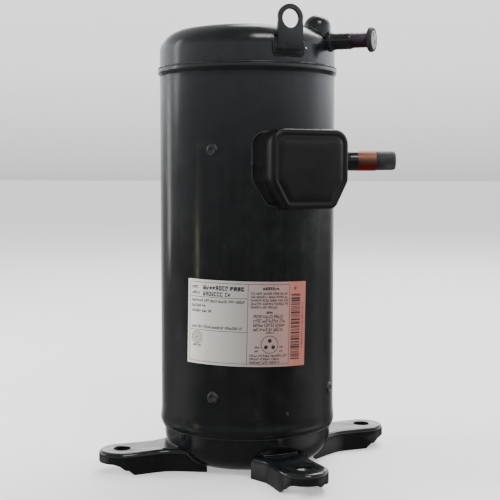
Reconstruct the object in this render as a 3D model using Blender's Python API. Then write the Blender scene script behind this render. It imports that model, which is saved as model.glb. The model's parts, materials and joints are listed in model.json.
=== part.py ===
"""A hermetic low-side scroll compressor, as an assembly of separate pieces. Metres, +Z up.

The origin is on the shaft's axis, at the plane of the feet's lower edges. Every dimension below is in
millimetres and angles are in degrees; MM turns them into metres where a mesh is made.
"""

import math

import bmesh
import bpy
from mathutils import Matrix

MM = 0.001
GAP = 0.3

# Shell and end caps
SHELL_R = 88.5
WALL = 3.0
SHELL_IN = SHELL_R - WALL
FIT_R = SHELL_IN - GAP
PAD_R = FIT_R - GAP
SHELL_BASE = 39.0
LIP_TOP = 398.0
LIP_R = 90.7
LIP_STEP = 394.3
CAP_BASE = 397.4
CAP_KNUCKLE = 21.0
CAP_CROWN = 300.0
CAP_TOP = 444.6
BOWL_TOP = 52.0
BOWL_KNUCKLE = 29.0
BOWL_BASE = 2.0
ROUND = 36

# Feet
FOOT_ANGLES = {"foot_front": -45.0, "foot_left": -135.0, "foot_right": 45.0, "foot_back": 135.0}
HOLE_SQUARE = 190.5
FOOT_HOLE_AT = HOLE_SQUARE / math.sqrt(2.0)
FOOT_HOLE_R = 8.5
FOOT_TOP = 22.0
FOOT_PLATE = 2.8
FOOT_END_R = 23.0
FOOT_LIP = 11.0
SKIRT_END = 127.0

# Lifting lug
LUG_AT = -41.6
LUG_WIDTH = 26.8
LUG_THICK = 3.5
LUG_NEAR = 89.2
LUG_BASE = 409.0
LUG_TOP = 452.7
LUG_HOLE_R = 8.55
LUG_HOLE_Z = 439.2

# Discharge and suction connections
DISCHARGE_X = 74.5
DOME_R = 13.7
DOME_TOP = 449.8
DISCHARGE_Z = 423.3
SOCKET_R = 8.2
SOCKET_END = 110.0
DISCHARGE_TUBE_R = 7.25
DISCHARGE_BORE = 6.35
DISCHARGE_END = 127.0
PLUG_R = 11.85
PLUG_END = 132.5
SUCTION_AT = 22.5
SUCTION_Z = 307.0
SUCTION_R = 10.35
SUCTION_BORE = 9.525
SUCTION_END = 131.5
BUNG_R = 9.75
BUNG_END = 151.8

# Terminal box
BOX_AT = -38.1
BOX_Z = 297.6
BOX_WIDTH = 85.2
BOX_HEIGHT = 75.4
BOX_FACE = 121.2
BOX_MOUTH = 103.5
BOX_WALL = 2.0
PIN_CIRCLE = 9.5
PIN_R = 1.6

# Data label
LABEL_AT = -68.6
LABEL_ARC = 121.6
LABEL_LOW = 110.3
LABEL_HIGH = 191.9
LABEL_TILT = -1.4

# Scrolls
ORBIT = 3.7
PITCH = 16.0
SCROLL_WALL = 4.0
BASE_R = PITCH / (2.0 * math.pi)
WRAP_START = 3.2
WRAP_END = 20.4
WRAP_SAG = 0.2
PLATE_LOW = 338.0
PLATE_HIGH = 346.0
FIXED_FLOOR = 376.0
ORBIT_PLATE_R = 60.0
FLANGE_R = 82.0
BOLT_CIRCLE = 74.5
BOLT_R = 4.0

# Shaft, motor and pump
JOURNAL_R = 14.0
JOURNAL_BORE = 14.09
LOWER_R = 12.0
LOWER_BORE = 12.09
ECCENTRIC_R = 10.0
BUSH_R = 13.86
BUSH_BORE = 13.95
ROTOR_R = 42.5
STATOR_BORE = 43.0
CORE_LOW = 136.0
CORE_HIGH = 234.0
SLOTS = 18
PUMP_OFFSET = 1.8
PUMP_RING = 15.0
PUMP_TOOTH = 5.0
PUMP_LOBES = 4


def clear_scene():
    for obj in list(bpy.data.objects):
        bpy.data.objects.remove(obj, do_unlink=True)


def material(name, color, roughness, metallic):
    made = bpy.data.materials.get(name)
    if made is None:
        made = bpy.data.materials.new(name)
        made.use_nodes = True
        shader = made.node_tree.nodes["Principled BSDF"]
        shader.inputs["Base Color"].default_value = (*color, 1.0)
        shader.inputs["Roughness"].default_value = roughness
        shader.inputs["Metallic"].default_value = metallic
    return made


PAINT = ((0.02, 0.022, 0.024), 0.25, 0.0)
STEEL = ((0.45, 0.45, 0.47), 0.4, 1.0)
IRON = ((0.25, 0.25, 0.26), 0.55, 1.0)
COPPER = ((0.72, 0.36, 0.22), 0.35, 1.0)
ALUMINIUM = ((0.75, 0.75, 0.77), 0.4, 1.0)
BRONZE = ((0.6, 0.42, 0.2), 0.4, 1.0)
RUBBER = ((0.03, 0.03, 0.03), 0.8, 0.0)
PLASTIC = ((0.05, 0.05, 0.055), 0.5, 0.0)
LABEL = ((0.8, 0.8, 0.78), 0.4, 0.0)


def make(name, bm, look, place=None):
    """One object from a closed mesh in millimetres, set at place, whose translation is in millimetres."""
    bmesh.ops.recalc_face_normals(bm, faces=bm.faces)
    bmesh.ops.scale(bm, vec=(MM, MM, MM), verts=bm.verts)
    mesh = bpy.data.meshes.new(name)
    bm.to_mesh(mesh)
    bm.free()
    mesh.shade_smooth()
    mesh.set_sharp_from_angle(angle=math.radians(32.0))
    obj = bpy.data.objects.new(name, mesh)
    bpy.context.scene.collection.objects.link(obj)
    if look is not None:
        mesh.materials.append(material(name, *look))
    if place is not None:
        matrix = place.copy()
        matrix.translation *= MM
        obj.matrix_world = matrix
    return obj


def tool(obj):
    obj.hide_render = True
    obj.display_type = "WIRE"
    return obj


def boolean(obj, other, operation):
    modifier = obj.modifiers.new(other.name, "BOOLEAN")
    modifier.solver = "EXACT"
    modifier.operation = operation
    modifier.object = tool(other)


def cut(obj, *others):
    for other in others:
        boolean(obj, other, "DIFFERENCE")


def join(obj, *others):
    for other in others:
        boolean(obj, other, "UNION")


def radial(angle, height=0.0, out=0.0):
    """A frame whose Z runs outward at this angle, X along the tangent and Y up, at this height."""
    turn = Matrix.Rotation(math.radians(angle), 4, "Z")
    lay = Matrix(((0, 0, 1, 0), (1, 0, 0, 0), (0, 1, 0, 0), (0, 0, 0, 1)))
    return turn @ Matrix.Translation((out, 0, height)) @ lay


def at(x, y, z=0.0):
    return Matrix.Translation((x, y, z))


def lathe_mesh(profile, segments):
    """A closed outline of (radius, height) points turned about Z. Points of radius 0 lie on the axis."""
    bm = bmesh.new()
    rings = []
    for radius, height in profile:
        if radius == 0:
            rings.append([bm.verts.new((0, 0, height))] * segments)
            continue
        ring = []
        for i in range(segments):
            angle = 2 * math.pi * i / segments
            ring.append(bm.verts.new((radius * math.cos(angle), radius * math.sin(angle), height)))
        rings.append(ring)
    for k in range(len(rings)):
        low = rings[k]
        high = rings[(k + 1) % len(rings)]
        if low[0] is low[1] and high[0] is high[1]:
            continue
        for i in range(segments):
            j = (i + 1) % segments
            corners = []
            for vert in (low[i], low[j], high[j], high[i]):
                if vert not in corners:
                    corners.append(vert)
            bm.faces.new(corners)
    return bm


def lathe(name, profile, look, segments=ROUND, place=None):
    return make(name, lathe_mesh(profile, segments), look, place)


def loft(name, loops, look, place=None):
    """A closed solid through loops of the same number of points, capped at both ends."""
    bm = bmesh.new()
    rings = [[bm.verts.new(point) for point in loop] for loop in loops]
    for low, high in zip(rings, rings[1:]):
        for i in range(len(low)):
            j = (i + 1) % len(low)
            bm.faces.new((low[i], low[j], high[j], high[i]))
    bm.faces.new(rings[0])
    bm.faces.new(rings[-1])
    return make(name, bm, look, place)


def prism(name, outline, low, high, look=None, place=None):
    loops = [[(x, y, z) for x, y in outline] for z in (low, high)]
    return loft(name, loops, look, place)


def disc(name, radius, low, high, place=None, segments=24, look=None):
    return lathe(name, [(0, low), (radius, low), (radius, high), (0, high)], look, segments, place)


def box(name, x, y, z, place=None, look=None):
    outline = [(x[0], y[0]), (x[1], y[0]), (x[1], y[1]), (x[0], y[1])]
    return prism(name, outline, z[0], z[1], look, place)


def sector(name, near, far, middle, half, low, high, steps=4, look=None):
    """A piece of a ring, from near to far, spanning half each side of the middle angle."""
    angles = [math.radians(middle - half + 2 * half * i / steps) for i in range(steps + 1)]
    outline = [(far * math.cos(a), far * math.sin(a)) for a in angles]
    outline += [(near * math.cos(a), near * math.sin(a)) for a in reversed(angles)]
    return prism(name, outline, low, high, look)


def offset(outline, distance):
    """The outline, counterclockwise, moved inward by this distance."""
    moved = []
    count = len(outline)
    for i, (x, y) in enumerate(outline):
        px, py = outline[i - 1]
        nx, ny = outline[(i + 1) % count]
        ax, ay = x - px, y - py
        bx, by = nx - x, ny - y
        al = math.hypot(ax, ay)
        bl = math.hypot(bx, by)
        mx = -ay / al - by / bl
        my = ax / al + bx / bl
        scale = 2 * distance / (mx * mx + my * my)
        moved.append((x + mx * scale, y + my * scale))
    return moved


def arc(cx, cy, radius, start, end, steps):
    points = []
    for i in range(steps + 1):
        a = math.radians(start + (end - start) * i / steps)
        points.append((cx + radius * math.cos(a), cy + radius * math.sin(a)))
    return points


def cap_outline(extra, steps=4):
    """The upper cap's outside from its lower edge to the apex, moved out by extra."""
    knuckle = CAP_KNUCKLE + extra
    crown = CAP_CROWN + extra
    middle = SHELL_R - CAP_KNUCKLE
    crown_z = CAP_TOP - CAP_CROWN
    knuckle_z = crown_z + math.sqrt((CAP_CROWN - CAP_KNUCKLE) ** 2 - middle**2)
    meet = 90.0 - math.degrees(math.atan2(middle, knuckle_z - crown_z))
    points = [(SHELL_R + extra, CAP_BASE)]
    points += arc(middle, knuckle_z, knuckle, 0.0, meet, steps)
    points += arc(0.0, crown_z, crown, meet, 90.0, 3)[1:-1]
    points.append((0.0, CAP_TOP + extra))
    return points


def bowl_outline(extra, steps=5):
    """The lower cap's outside from its upper edge to the middle of its base, moved out by extra."""
    middle = FIT_R - BOWL_KNUCKLE
    points = [(FIT_R + extra, BOWL_TOP)]
    points += arc(middle, BOWL_BASE + BOWL_KNUCKLE, BOWL_KNUCKLE + extra, 0.0, -90.0, steps)
    points.append((0.0, BOWL_BASE - extra))
    return points


def build_shell():
    outer = [(86.3, SHELL_BASE), (88.4, 40.6), (89.4, 44.0), (89.4, 47.5), (SHELL_R, 55.0)]
    lip = [(SHELL_R, 391.4), (LIP_R, 394.2), (LIP_R, LIP_TOP), (SHELL_R + GAP, LIP_TOP)]
    inner = [(SHELL_R + GAP, LIP_STEP), (SHELL_IN, LIP_STEP), (SHELL_IN, SHELL_BASE)]
    shell = lathe("shell", outer + lip + inner, PAINT)
    suction = disc("cut_suction", SUCTION_R + GAP, 78, 98, radial(SUCTION_AT, SUCTION_Z))
    terminal = disc("cut_terminal", 21.8, 76, 98, radial(BOX_AT, BOX_Z), 32)
    cut(shell, suction, terminal)


def build_caps():
    outside = cap_outline(0.0)
    inside = cap_outline(-WALL, 3)
    cap = lathe("upper_cap", outside + inside[::-1], PAINT)
    cut(cap, disc("cut_discharge", 10.5, 415, 450, at(DISCHARGE_X - 1.5, 0), 20))
    outside = bowl_outline(0.0)
    inside = bowl_outline(-WALL, 4)
    lathe("lower_cap", outside + inside[::-1], PAINT)
    plate = [(8, 394.6), (SHELL_R, 394.6), (SHELL_R, 397.1), (8, 397.1)]
    lathe("partition_plate", plate, STEEL)


def ring(name, radius, height, thick, look, sides=4, segments=ROUND):
    profile = []
    for i in range(sides):
        a = 2 * math.pi * i / sides
        profile.append((radius + thick * math.cos(a), height + thick * math.sin(a)))
    return lathe(name, profile, look, segments)


def build_seams():
    ring("top_seam_weld", 89.75, 399.1, 0.95, PAINT)
    ring("bottom_seam_weld", 86.5, 37.7, 0.9, PAINT)


def foot_outline():
    """The channel seen from above: a round end about the hole, a waist, and an inner end that spreads."""
    end = arc(FOOT_HOLE_AT, 0.0, FOOT_END_R, -80.0, 80.0, 8)
    side = [(112.0, 21.5), (96.0, 21.5), (82.0, 28.0), (60.0, 40.0)]
    mirrored = [(x, -y) for x, y in reversed(side)]
    return end + side + mirrored


def build_foot(name, angle):
    place = Matrix.Rotation(math.radians(angle), 4, "Z")
    outline = foot_outline()
    edge = offset(outline, 1.2)
    top = offset(outline, 4.0)
    loops = [
        [(x, y, 0.0) for x, y in outline],
        [(x, y, FOOT_TOP - 4.0) for x, y in outline],
        [(x, y, FOOT_TOP - 1.2) for x, y in edge],
        [(x, y, FOOT_TOP) for x, y in top],
    ]
    foot = loft(name, loops, PAINT, place)
    hollow = offset(outline, FOOT_PLATE)
    hollow = [(x - 8.0 if x < 65 else x, y) for x, y in hollow]
    deep = prism(name + "_hollow", hollow, -1.0, FOOT_TOP - FOOT_PLATE, None, place)
    reach = FOOT_HOLE_AT + FOOT_END_R + 5
    side = [(SKIRT_END, -2.0), (reach, -2.0), (reach, FOOT_LIP), (146.0, FOOT_LIP), (SKIRT_END, 0.0)]
    under = prism(name + "_under", side, -30.0, 30.0, None, place @ Matrix.Rotation(math.pi / 2, 4, "X"))
    hole = disc(name + "_hole", FOOT_HOLE_R, 10, 30, place @ at(FOOT_HOLE_AT, 0), 20)
    bowl = bowl_outline(GAP)
    bowl = lathe(name + "_bowl", bowl, None)
    cut(foot, deep, under, hole, bowl)


def build_lug():
    """A plate standing on the cap's side, on a curved saddle that is welded to it."""
    half = LUG_WIDTH / 2
    centre = LUG_TOP - half
    outline = [(-half, LUG_BASE), (half, LUG_BASE)] + arc(0.0, centre, half, 0.0, 180.0, 10)
    place = radial(LUG_AT)
    plate = prism("lifting_lug", outline, LUG_NEAR, LUG_NEAR + LUG_THICK, PAINT, place)
    saddle = sector("lug_saddle", SHELL_R + GAP, 91.8, LUG_AT, 10.2, 405.0, 419.5, 4)
    hole = disc("lug_hole", LUG_HOLE_R, 80, 100, place @ at(0, LUG_HOLE_Z), 24)
    join(plate, saddle)
    cut(plate, hole)


def build_discharge():
    """A domed fitting on the cap's shoulder with a side socket, its copper tube and a shipping plug."""
    rise = 12.0
    profile = [(0, 404), (DOME_R, 404), (DOME_R, DOME_TOP - rise)]
    profile += [(DOME_R * 0.87, DOME_TOP - rise * 0.45), (DOME_R * 0.5, DOME_TOP - rise * 0.1)]
    profile.append((0, DOME_TOP))
    turned = at(DISCHARGE_X, 0) @ Matrix.Rotation(math.radians(5.0), 4, "Z")
    dome = lathe("discharge_dome", profile, PAINT, 24, turned)
    east = radial(0.0, DISCHARGE_Z) @ Matrix.Rotation(math.radians(4.0), 4, "Z")
    socket = disc("dome_socket", SOCKET_R, DISCHARGE_X + 4, SOCKET_END, east, 20)
    inside = [(0, 400), (DOME_R - 3, 400), (DOME_R - 3, DOME_TOP - rise), (6.0, DOME_TOP - 4.5)]
    turned = at(DISCHARGE_X, 0) @ Matrix.Rotation(math.radians(3.0), 4, "Z")
    hollow = lathe("dome_hollow", inside + [(0, DOME_TOP - 4.0)], None, 24, turned)
    bore = disc("dome_bore", DISCHARGE_TUBE_R + GAP, DISCHARGE_X, SOCKET_END + 5, east, 20)
    space = cap_outline(GAP)
    space = lathe("dome_cap", [(0, CAP_BASE)] + space, None, ROUND, Matrix.Rotation(math.radians(1.3), 4, "Z"))
    join(dome, socket)
    cut(dome, space, hollow, bore)
    tube = [(DISCHARGE_BORE, 92), (DISCHARGE_TUBE_R, 92), (DISCHARGE_TUBE_R, DISCHARGE_END)]
    tube.append((DISCHARGE_BORE, DISCHARGE_END))
    lathe("discharge_tube", tube, COPPER, 20, east)
    plug = [(0, 115), (5.9, 115), (5.9, DISCHARGE_END + GAP), (PLUG_R - 0.8, DISCHARGE_END + GAP)]
    plug += [(PLUG_R, DISCHARGE_END + 1.2), (PLUG_R, PLUG_END - 1.2), (PLUG_R - 1.2, PLUG_END), (0, PLUG_END)]
    lathe("discharge_plug", plug, RUBBER, 24, east)


def build_suction():
    place = radial(SUCTION_AT, SUCTION_Z)
    collar = [(SUCTION_R + GAP, 84), (13.5, 84), (13.5, 93.5), (12.0, 96.0), (SUCTION_R + GAP, 96.0)]
    collar = lathe("suction_collar", collar, PAINT, 24, place)
    cut(collar, disc("collar_shell", SHELL_R + GAP, 280, 330, None, ROUND))
    tube = [(SUCTION_BORE, 80), (SUCTION_R, 80), (SUCTION_R, SUCTION_END), (SUCTION_BORE, SUCTION_END)]
    lathe("suction_tube", tube, COPPER, 24, place)
    bung = [(0, 119), (8.6, 119), (9.2, 121), (9.2, SUCTION_END + GAP), (BUNG_R, SUCTION_END + GAP)]
    bung += [(BUNG_R, BUNG_END - 2.5), (BUNG_R - 2.5, BUNG_END), (0, BUNG_END)]
    lathe("suction_bung", bung, RUBBER, 24, place)
    baffle = sector("suction_baffle", 74.0, 75.5, SUCTION_AT, 13.0, 282.0, 322.0, 4, STEEL)
    for side in (-1, 1):
        middle = SUCTION_AT + side * 12.5
        join(baffle, sector("baffle_side", 74.2, PAD_R, middle, 0.5, 282.0, 322.0, 1))


def box_outline():
    """The terminal box seen from outside: round upper corners, long cut lower corners."""
    half = BOX_WIDTH / 2
    high = BOX_HEIGHT / 2
    points = arc(half - 14.5, high - 14.5, 14.5, 0.0, 90.0, 4)
    points += arc(-half + 14.5, high - 14.5, 14.5, 90.0, 180.0, 4)
    points += [(-half, -9.5), (-half + 1.4, -14.0), (-half + 13.0, -high + 4.0), (-half + 18.0, -high)]
    points += [(half - 18.0, -high), (half - 13.0, -high + 4.0), (half - 1.4, -14.0), (half, -9.5)]
    return points


def build_terminal_box():
    place = radial(BOX_AT, BOX_Z)
    outline = box_outline()
    loops = []
    for inward, out in ((0.0, BOX_MOUTH), (0.0, BOX_FACE - 4.2), (0.9, BOX_FACE - 2.2), (3.2, BOX_FACE - 1.2), (9.0, BOX_FACE)):
        loops.append([(x, y, out) for x, y in offset(outline, inward)])
    cover = loft("terminal_cover", loops, PLASTIC, place)
    inner = offset(outline, BOX_WALL)
    cut(cover, prism("cover_hollow", inner, BOX_MOUTH - 2, BOX_FACE - 2.5, None, place))
    seat = offset(outline, BOX_WALL + 0.5)
    well = offset(outline, BOX_WALL + 3.0)
    end = BOX_FACE - 5.3
    base = prism("terminal_base", seat, 70.0, end, PAINT, place)
    through = prism("base_hollow", well, 60.0, end + 2, None, place)
    cut(base, through, disc("base_shell", SHELL_R + GAP, 240, 340, None, ROUND))
    gasket = prism("terminal_gasket", offset(outline, BOX_WALL + 0.7), end + GAP, end + 2.5, RUBBER, place)
    cut(gasket, prism("gasket_hollow", well, end - 1, end + 4, None, place))


def build_terminal():
    """The sealed terminal cup with three pins, the block on them and the leads inside."""
    place = radial(BOX_AT, BOX_Z)
    cup = [(0, 80), (21.4, 80), (21.4, 92), (19, 92), (17, 84), (0, 84)]
    body = lathe("terminal_body", cup, STEEL, 32, place)
    block = [(0, 93), (15.5, 93), (16.5, 94), (16.5, 104), (15.5, 105), (0, 105)]
    block = lathe("connector_block", block, PLASTIC, 24, place)
    for i, letter in enumerate("abc"):
        a = math.radians(90 + 120 * i)
        spot = place @ at(PIN_CIRCLE * math.cos(a), PIN_CIRCLE * math.sin(a))
        spot = spot @ Matrix.Rotation(math.radians(7.0), 4, "Z")
        pin = [(0, 72), (PIN_R, 72.6), (PIN_R, 102.4), (0, 103)]
        lathe("terminal_pin_" + letter, pin, COPPER, 12, spot)
        cut(body, disc("body_hole_" + letter, PIN_R + GAP, 70, 96, spot, 12))
        cut(block, disc("block_hole_" + letter, PIN_R + GAP, 90, 110, spot, 12))


def tube_along(name, points, radius, look):
    curve = bpy.data.curves.new(name, "CURVE")
    curve.dimensions = "3D"
    curve.bevel_depth = radius * MM
    curve.bevel_resolution = 1
    curve.use_fill_caps = True
    line = curve.splines.new("POLY")
    line.points.add(len(points) - 1)
    for target, (x, y, z) in zip(line.points, points):
        target.co = (x * MM, y * MM, z * MM, 1.0)
    obj = bpy.data.objects.new(name, curve)
    curve.materials.append(material(name, *look))
    bpy.context.scene.collection.objects.link(obj)
    return obj


def build_leads():
    a = math.radians(BOX_AT)
    points = []
    for i in range(13):
        t = i / 12
        out = 71.0 - 13.0 * math.sin(t * math.pi / 2)
        height = 292.0 - 28.5 * (1 - math.cos(t * math.pi / 2)) - 3.0 * t
        points.append((out * math.cos(a), out * math.sin(a), height))
    tube_along("lead_loom", points, 3.0, RUBBER)
    turn = Matrix.Rotation(math.radians(100.0), 4, "Z") @ Matrix.Translation((57, 0, 266.5))
    turn = turn @ Matrix.Rotation(math.pi / 2, 4, "X")
    can = [(0, -11), (6, -11), (7.5, -9.5), (7.5, 9.5), (6, 11), (0, 11)]
    lathe("motor_protector", can, PLASTIC, 16, turn)


def build_label():
    """A thin foil wrapped on the shell, turned a little out of level."""
    slope = math.tan(math.radians(LABEL_TILT))
    columns = 20
    bm = bmesh.new()
    grid = []
    for radius in (SHELL_R + GAP, SHELL_R + 2 * GAP):
        rows = []
        for height in (LABEL_LOW, LABEL_HIGH):
            row = []
            for i in range(columns + 1):
                along = LABEL_ARC * (i / columns - 0.5) - slope * (height - LABEL_LOW - 40.8)
                a = math.radians(LABEL_AT) + along / SHELL_R
                z = height + slope * along
                row.append(bm.verts.new((radius * math.cos(a), radius * math.sin(a), z)))
            rows.append(row)
        grid.append(rows)
    near, far = grid
    for i in range(columns):
        for rows in grid:
            bm.faces.new((rows[0][i], rows[0][i + 1], rows[1][i + 1], rows[1][i]))
        for k in (0, 1):
            bm.faces.new((near[k][i], near[k][i + 1], far[k][i + 1], far[k][i]))
    for i in (0, columns):
        bm.faces.new((near[0][i], near[1][i], far[1][i], far[0][i]))
    make("data_label", bm, LABEL)


def wrap_outline(turn):
    """A scroll's wall in plan: an involute of the base circle, half the wall to each side."""
    lean = SCROLL_WALL / 2 / BASE_R
    angles = [WRAP_START]
    while angles[-1] < WRAP_END:
        angles.append(angles[-1] + math.sqrt(8 * WRAP_SAG / (BASE_R * angles[-1])))
    angles[-1] = WRAP_END
    sides = []
    for shift in (lean, -lean):
        side = []
        for a in angles:
            run = a + shift
            x = BASE_R * (math.cos(a) + run * math.sin(a))
            y = BASE_R * (math.sin(a) - run * math.cos(a))
            c = math.cos(turn)
            s = math.sin(turn)
            side.append((x * c - y * s, x * s + y * c))
        sides.append(side)
    return sides[0] + sides[1][::-1]


def build_fixed_scroll():
    inner = 61.0
    body = 66.5
    profile = [(inner, PLATE_HIGH + GAP), (FLANGE_R, PLATE_HIGH + GAP), (FLANGE_R, 358), (body, 358)]
    profile += [(body, 390), (16, 390), (16, 394.3), (5, 394.3), (5, FIXED_FLOOR), (inner, FIXED_FLOOR)]
    scroll = lathe("fixed_scroll", profile, IRON, ROUND)
    wrap = prism("fixed_wrap", wrap_outline(0.0), PLATE_HIGH + GAP, FIXED_FLOOR + 2)
    join(scroll, wrap)
    for angle in (SUCTION_AT, SUCTION_AT + 180):
        cut(scroll, box("fixed_port", (-11, 11), (360, 374), (57, 70), radial(angle)))
    for i in range(4):
        a = math.radians(45 + 90 * i)
        spot = at(BOLT_CIRCLE * math.cos(a), BOLT_CIRCLE * math.sin(a))
        cut(scroll, disc("flange_hole", BOLT_R + GAP, 340, 365, spot, 16))


def build_orbiting_scroll():
    place = at(ORBIT, 0)
    profile = [(BUSH_BORE, 320), (19.5, 320), (19.5, PLATE_LOW), (ORBIT_PLATE_R, PLATE_LOW)]
    profile += [(ORBIT_PLATE_R, PLATE_HIGH), (0, PLATE_HIGH), (0, PLATE_LOW), (BUSH_BORE, PLATE_LOW)]
    scroll = lathe("orbiting_scroll", profile, ALUMINIUM, ROUND, place)
    wrap = prism("orbiting_wrap", wrap_outline(math.pi), PLATE_HIGH - 2, FIXED_FLOOR - GAP, None, place)
    join(scroll, wrap)
    for side in (-1, 1):
        middle = side * 57.0
        slot = box("scroll_slot", (-4.3, 4.3), (middle - 9, middle + 9), (336, 342), place)
        cut(scroll, slot)


def build_oldham():
    """A ring that slides along X on two lower keys; its upper keys lie across it, on the Y axis.

    The crank pin stands towards +X, so the ring stands at that end of its slide.
    """
    place = at(ORBIT, 0)
    profile = [(52.5, 330.3), (61.5, 330.3), (61.5, 335.7), (52.5, 335.7)]
    oldham = lathe("oldham_ring", profile, ALUMINIUM, ROUND, place)
    for side in (-1, 1):
        middle = side * 57.0
        join(oldham, box("lower_key", (middle - 4, middle + 4), (-4, 4), (325.6, 332), place))
        join(oldham, box("upper_key", (-4, 4), (middle - 4, middle + 4), (334, 337.5), place))


def build_main_frame():
    profile = [(18.3, 285), (27, 285), (30, 310), (36, 316), (69, 316), (73, 324), (FIT_R, 324)]
    profile += [(FIT_R, PLATE_HIGH), (66, PLATE_HIGH), (66, 330), (48, 330), (48, 337.7), (26, 337.7)]
    profile += [(26, 318), (18.3, 318)]
    frame = lathe("main_frame", profile, IRON, ROUND)
    for i in range(4):
        join(frame, sector("frame_pad", 74.0, PAD_R, 90 * i, 9.0, 305.0, 326.0, 3))
    for i in range(4):
        a = math.radians(45 + 90 * i)
        spot = at(BOLT_CIRCLE * math.cos(a), BOLT_CIRCLE * math.sin(a))
        cut(frame, disc("frame_hole", BOLT_R + GAP, 310, 350, spot, 16))
    for angle in (22.5, 112.5, 202.5, 292.5):
        cut(frame, sector("frame_gas", 69.0, 80.0, angle, 9.0, 310.0, 350.0, 3))
    for side in (-1, 1):
        middle = side * 57.0
        cut(frame, box("frame_slot", (middle - 8.5, middle + 8.5), (-4.06, 4.06), (325, 333)))


def build_bearings():
    lathe("main_bearing", [(JOURNAL_BORE, 287), (18, 287), (18, 316.5), (JOURNAL_BORE, 316.5)], BRONZE, ROUND)
    lathe("lower_bearing", [(LOWER_BORE, 62), (16, 62), (16, 90), (LOWER_BORE, 90)], BRONZE, ROUND)
    bush = [(ECCENTRIC_R + GAP, 320.5), (BUSH_R, 320.5), (BUSH_R, 336), (ECCENTRIC_R + GAP, 336)]
    lathe("drive_bush", bush, BRONZE, ROUND, at(ORBIT, 0))


def build_bolts():
    for i in range(4):
        a = math.radians(45 + 90 * i)
        spot = at(BOLT_CIRCLE * math.cos(a), BOLT_CIRCLE * math.sin(a))
        shank = [(0, 326), (BOLT_R - 0.8, 326), (BOLT_R, 327), (BOLT_R, 362), (0, 362)]
        bolt = lathe("scroll_bolt_" + str(i + 1), shank, STEEL, 12, spot)
        join(bolt, disc("bolt_head", 7.0, 358.3, 365.8, spot, 6))


def build_shaft():
    """The crankshaft, its off-centre pin, and the oil way bored through both."""
    profile = [(0, 50.6), (7.0, 50.6), (7.0, 60.6), (LOWER_R, 60.6), (LOWER_R, 94), (JOURNAL_R, 94)]
    profile += [(JOURNAL_R, 318), (0, 318)]
    shaft = lathe("crankshaft", profile, STEEL, ROUND)
    join(shaft, disc("crank_pin", ECCENTRIC_R, 316, 336, at(ORBIT, 0), 24))
    cut(shaft, disc("oil_way", 2.0, 40, 340, None, 12))


def build_rotor():
    bore = JOURNAL_R + GAP
    core = [(bore, 137), (ROTOR_R, 137), (ROTOR_R, 233), (bore, 233)]
    lathe("rotor_core", core, STEEL, 36)
    for name, low, high in (("rotor_ring_lower", 129, 136.7), ("rotor_ring_upper", 233.3, 241)):
        lathe(name, [(28, low), (41, low), (41, high), (28, high)], ALUMINIUM, 36)
    sector("upper_counterweight", 16.0, 40.0, 180.0, 80.0, 241.3, 262.0, 8, BRONZE)
    sector("lower_counterweight", 16.0, 40.0, 0.0, 80.0, 112.0, 128.7, 8, BRONZE)


def build_stator():
    """The laminated core: a yoke with teeth, its slots open to the bore."""
    slot = 10.8
    angles = []
    for i in range(SLOTS):
        start = 360.0 * i / SLOTS
        angles += [start - slot / 2, start + slot / 2]
    outline = []
    for k, a in enumerate(angles):
        a = math.radians(a)
        near = (STATOR_BORE * math.cos(a), STATOR_BORE * math.sin(a))
        deep = (64.0 * math.cos(a), 64.0 * math.sin(a))
        outline += [near, deep] if k % 2 == 0 else [deep, near]
    bm = bmesh.new()
    levels = []
    for z in (CORE_LOW, CORE_HIGH):
        inner = [bm.verts.new((x, y, z)) for x, y in outline]
        outer = []
        for a in angles:
            a = math.radians(a)
            outer.append(bm.verts.new((PAD_R * math.cos(a), PAD_R * math.sin(a), z)))
        levels.append((inner, outer))
    count = len(angles)
    for (low_in, low_out), (high_in, high_out) in (levels,):
        for i in range(len(low_in)):
            j = (i + 1) % len(low_in)
            bm.faces.new((low_in[i], low_in[j], high_in[j], high_in[i]))
        for i in range(count):
            j = (i + 1) % count
            bm.faces.new((low_out[i], low_out[j], high_out[j], high_out[i]))
    for inner, outer in levels:
        for i in range(SLOTS):
            near_a, deep_a, deep_b, near_b = inner[4 * i : 4 * i + 4]
            next_near, next_deep = inner[(4 * i + 4) % len(inner)], inner[(4 * i + 5) % len(inner)]
            bm.faces.new((deep_a, outer[2 * i], outer[2 * i + 1], deep_b))
            bm.faces.new((deep_b, outer[2 * i + 1], outer[(2 * i + 2) % count], next_deep))
            bm.faces.new((near_b, deep_b, next_deep, next_near))
    make("stator_core", bm, STEEL)


def build_winding():
    """Both end turns and the bars that run through the slots, as one piece."""
    steps = 2 * SLOTS
    near, far = 47.5, 62.5
    upper = [(near, 236), (far, 236), (66, 241), (66, 251), (61, 256), (50, 256), (46, 250), (46, 241)]
    lower = [(r, CORE_LOW + CORE_HIGH - z) for r, z in upper]
    bm = bmesh.new()
    rings = []
    for profile in (upper, lower):
        made = []
        for r, z in profile:
            loop = []
            for i in range(steps):
                a = math.radians(360.0 * (i - 0.5) / steps)
                loop.append(bm.verts.new((r * math.cos(a), r * math.sin(a), z)))
            made.append(loop)
        rings.append(made)
    for made in rings:
        for k in range(len(made)):
            for i in range(steps):
                if k == 0 and i % 2 == 0:
                    continue
                j = (i + 1) % steps
                after = made[(k + 1) % len(made)]
                bm.faces.new((made[k][i], made[k][j], after[j], after[i]))
    (top_near, top_far), (low_near, low_far) = rings[0][:2], rings[1][:2]
    for i in range(0, steps, 2):
        j = i + 1
        bm.faces.new((top_near[i], top_near[j], low_near[j], low_near[i]))
        bm.faces.new((top_far[i], top_far[j], low_far[j], low_far[i]))
        bm.faces.new((top_near[i], top_far[i], low_far[i], low_near[i]))
        bm.faces.new((top_near[j], top_far[j], low_far[j], low_near[j]))
    make("stator_winding", bm, COPPER)


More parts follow.
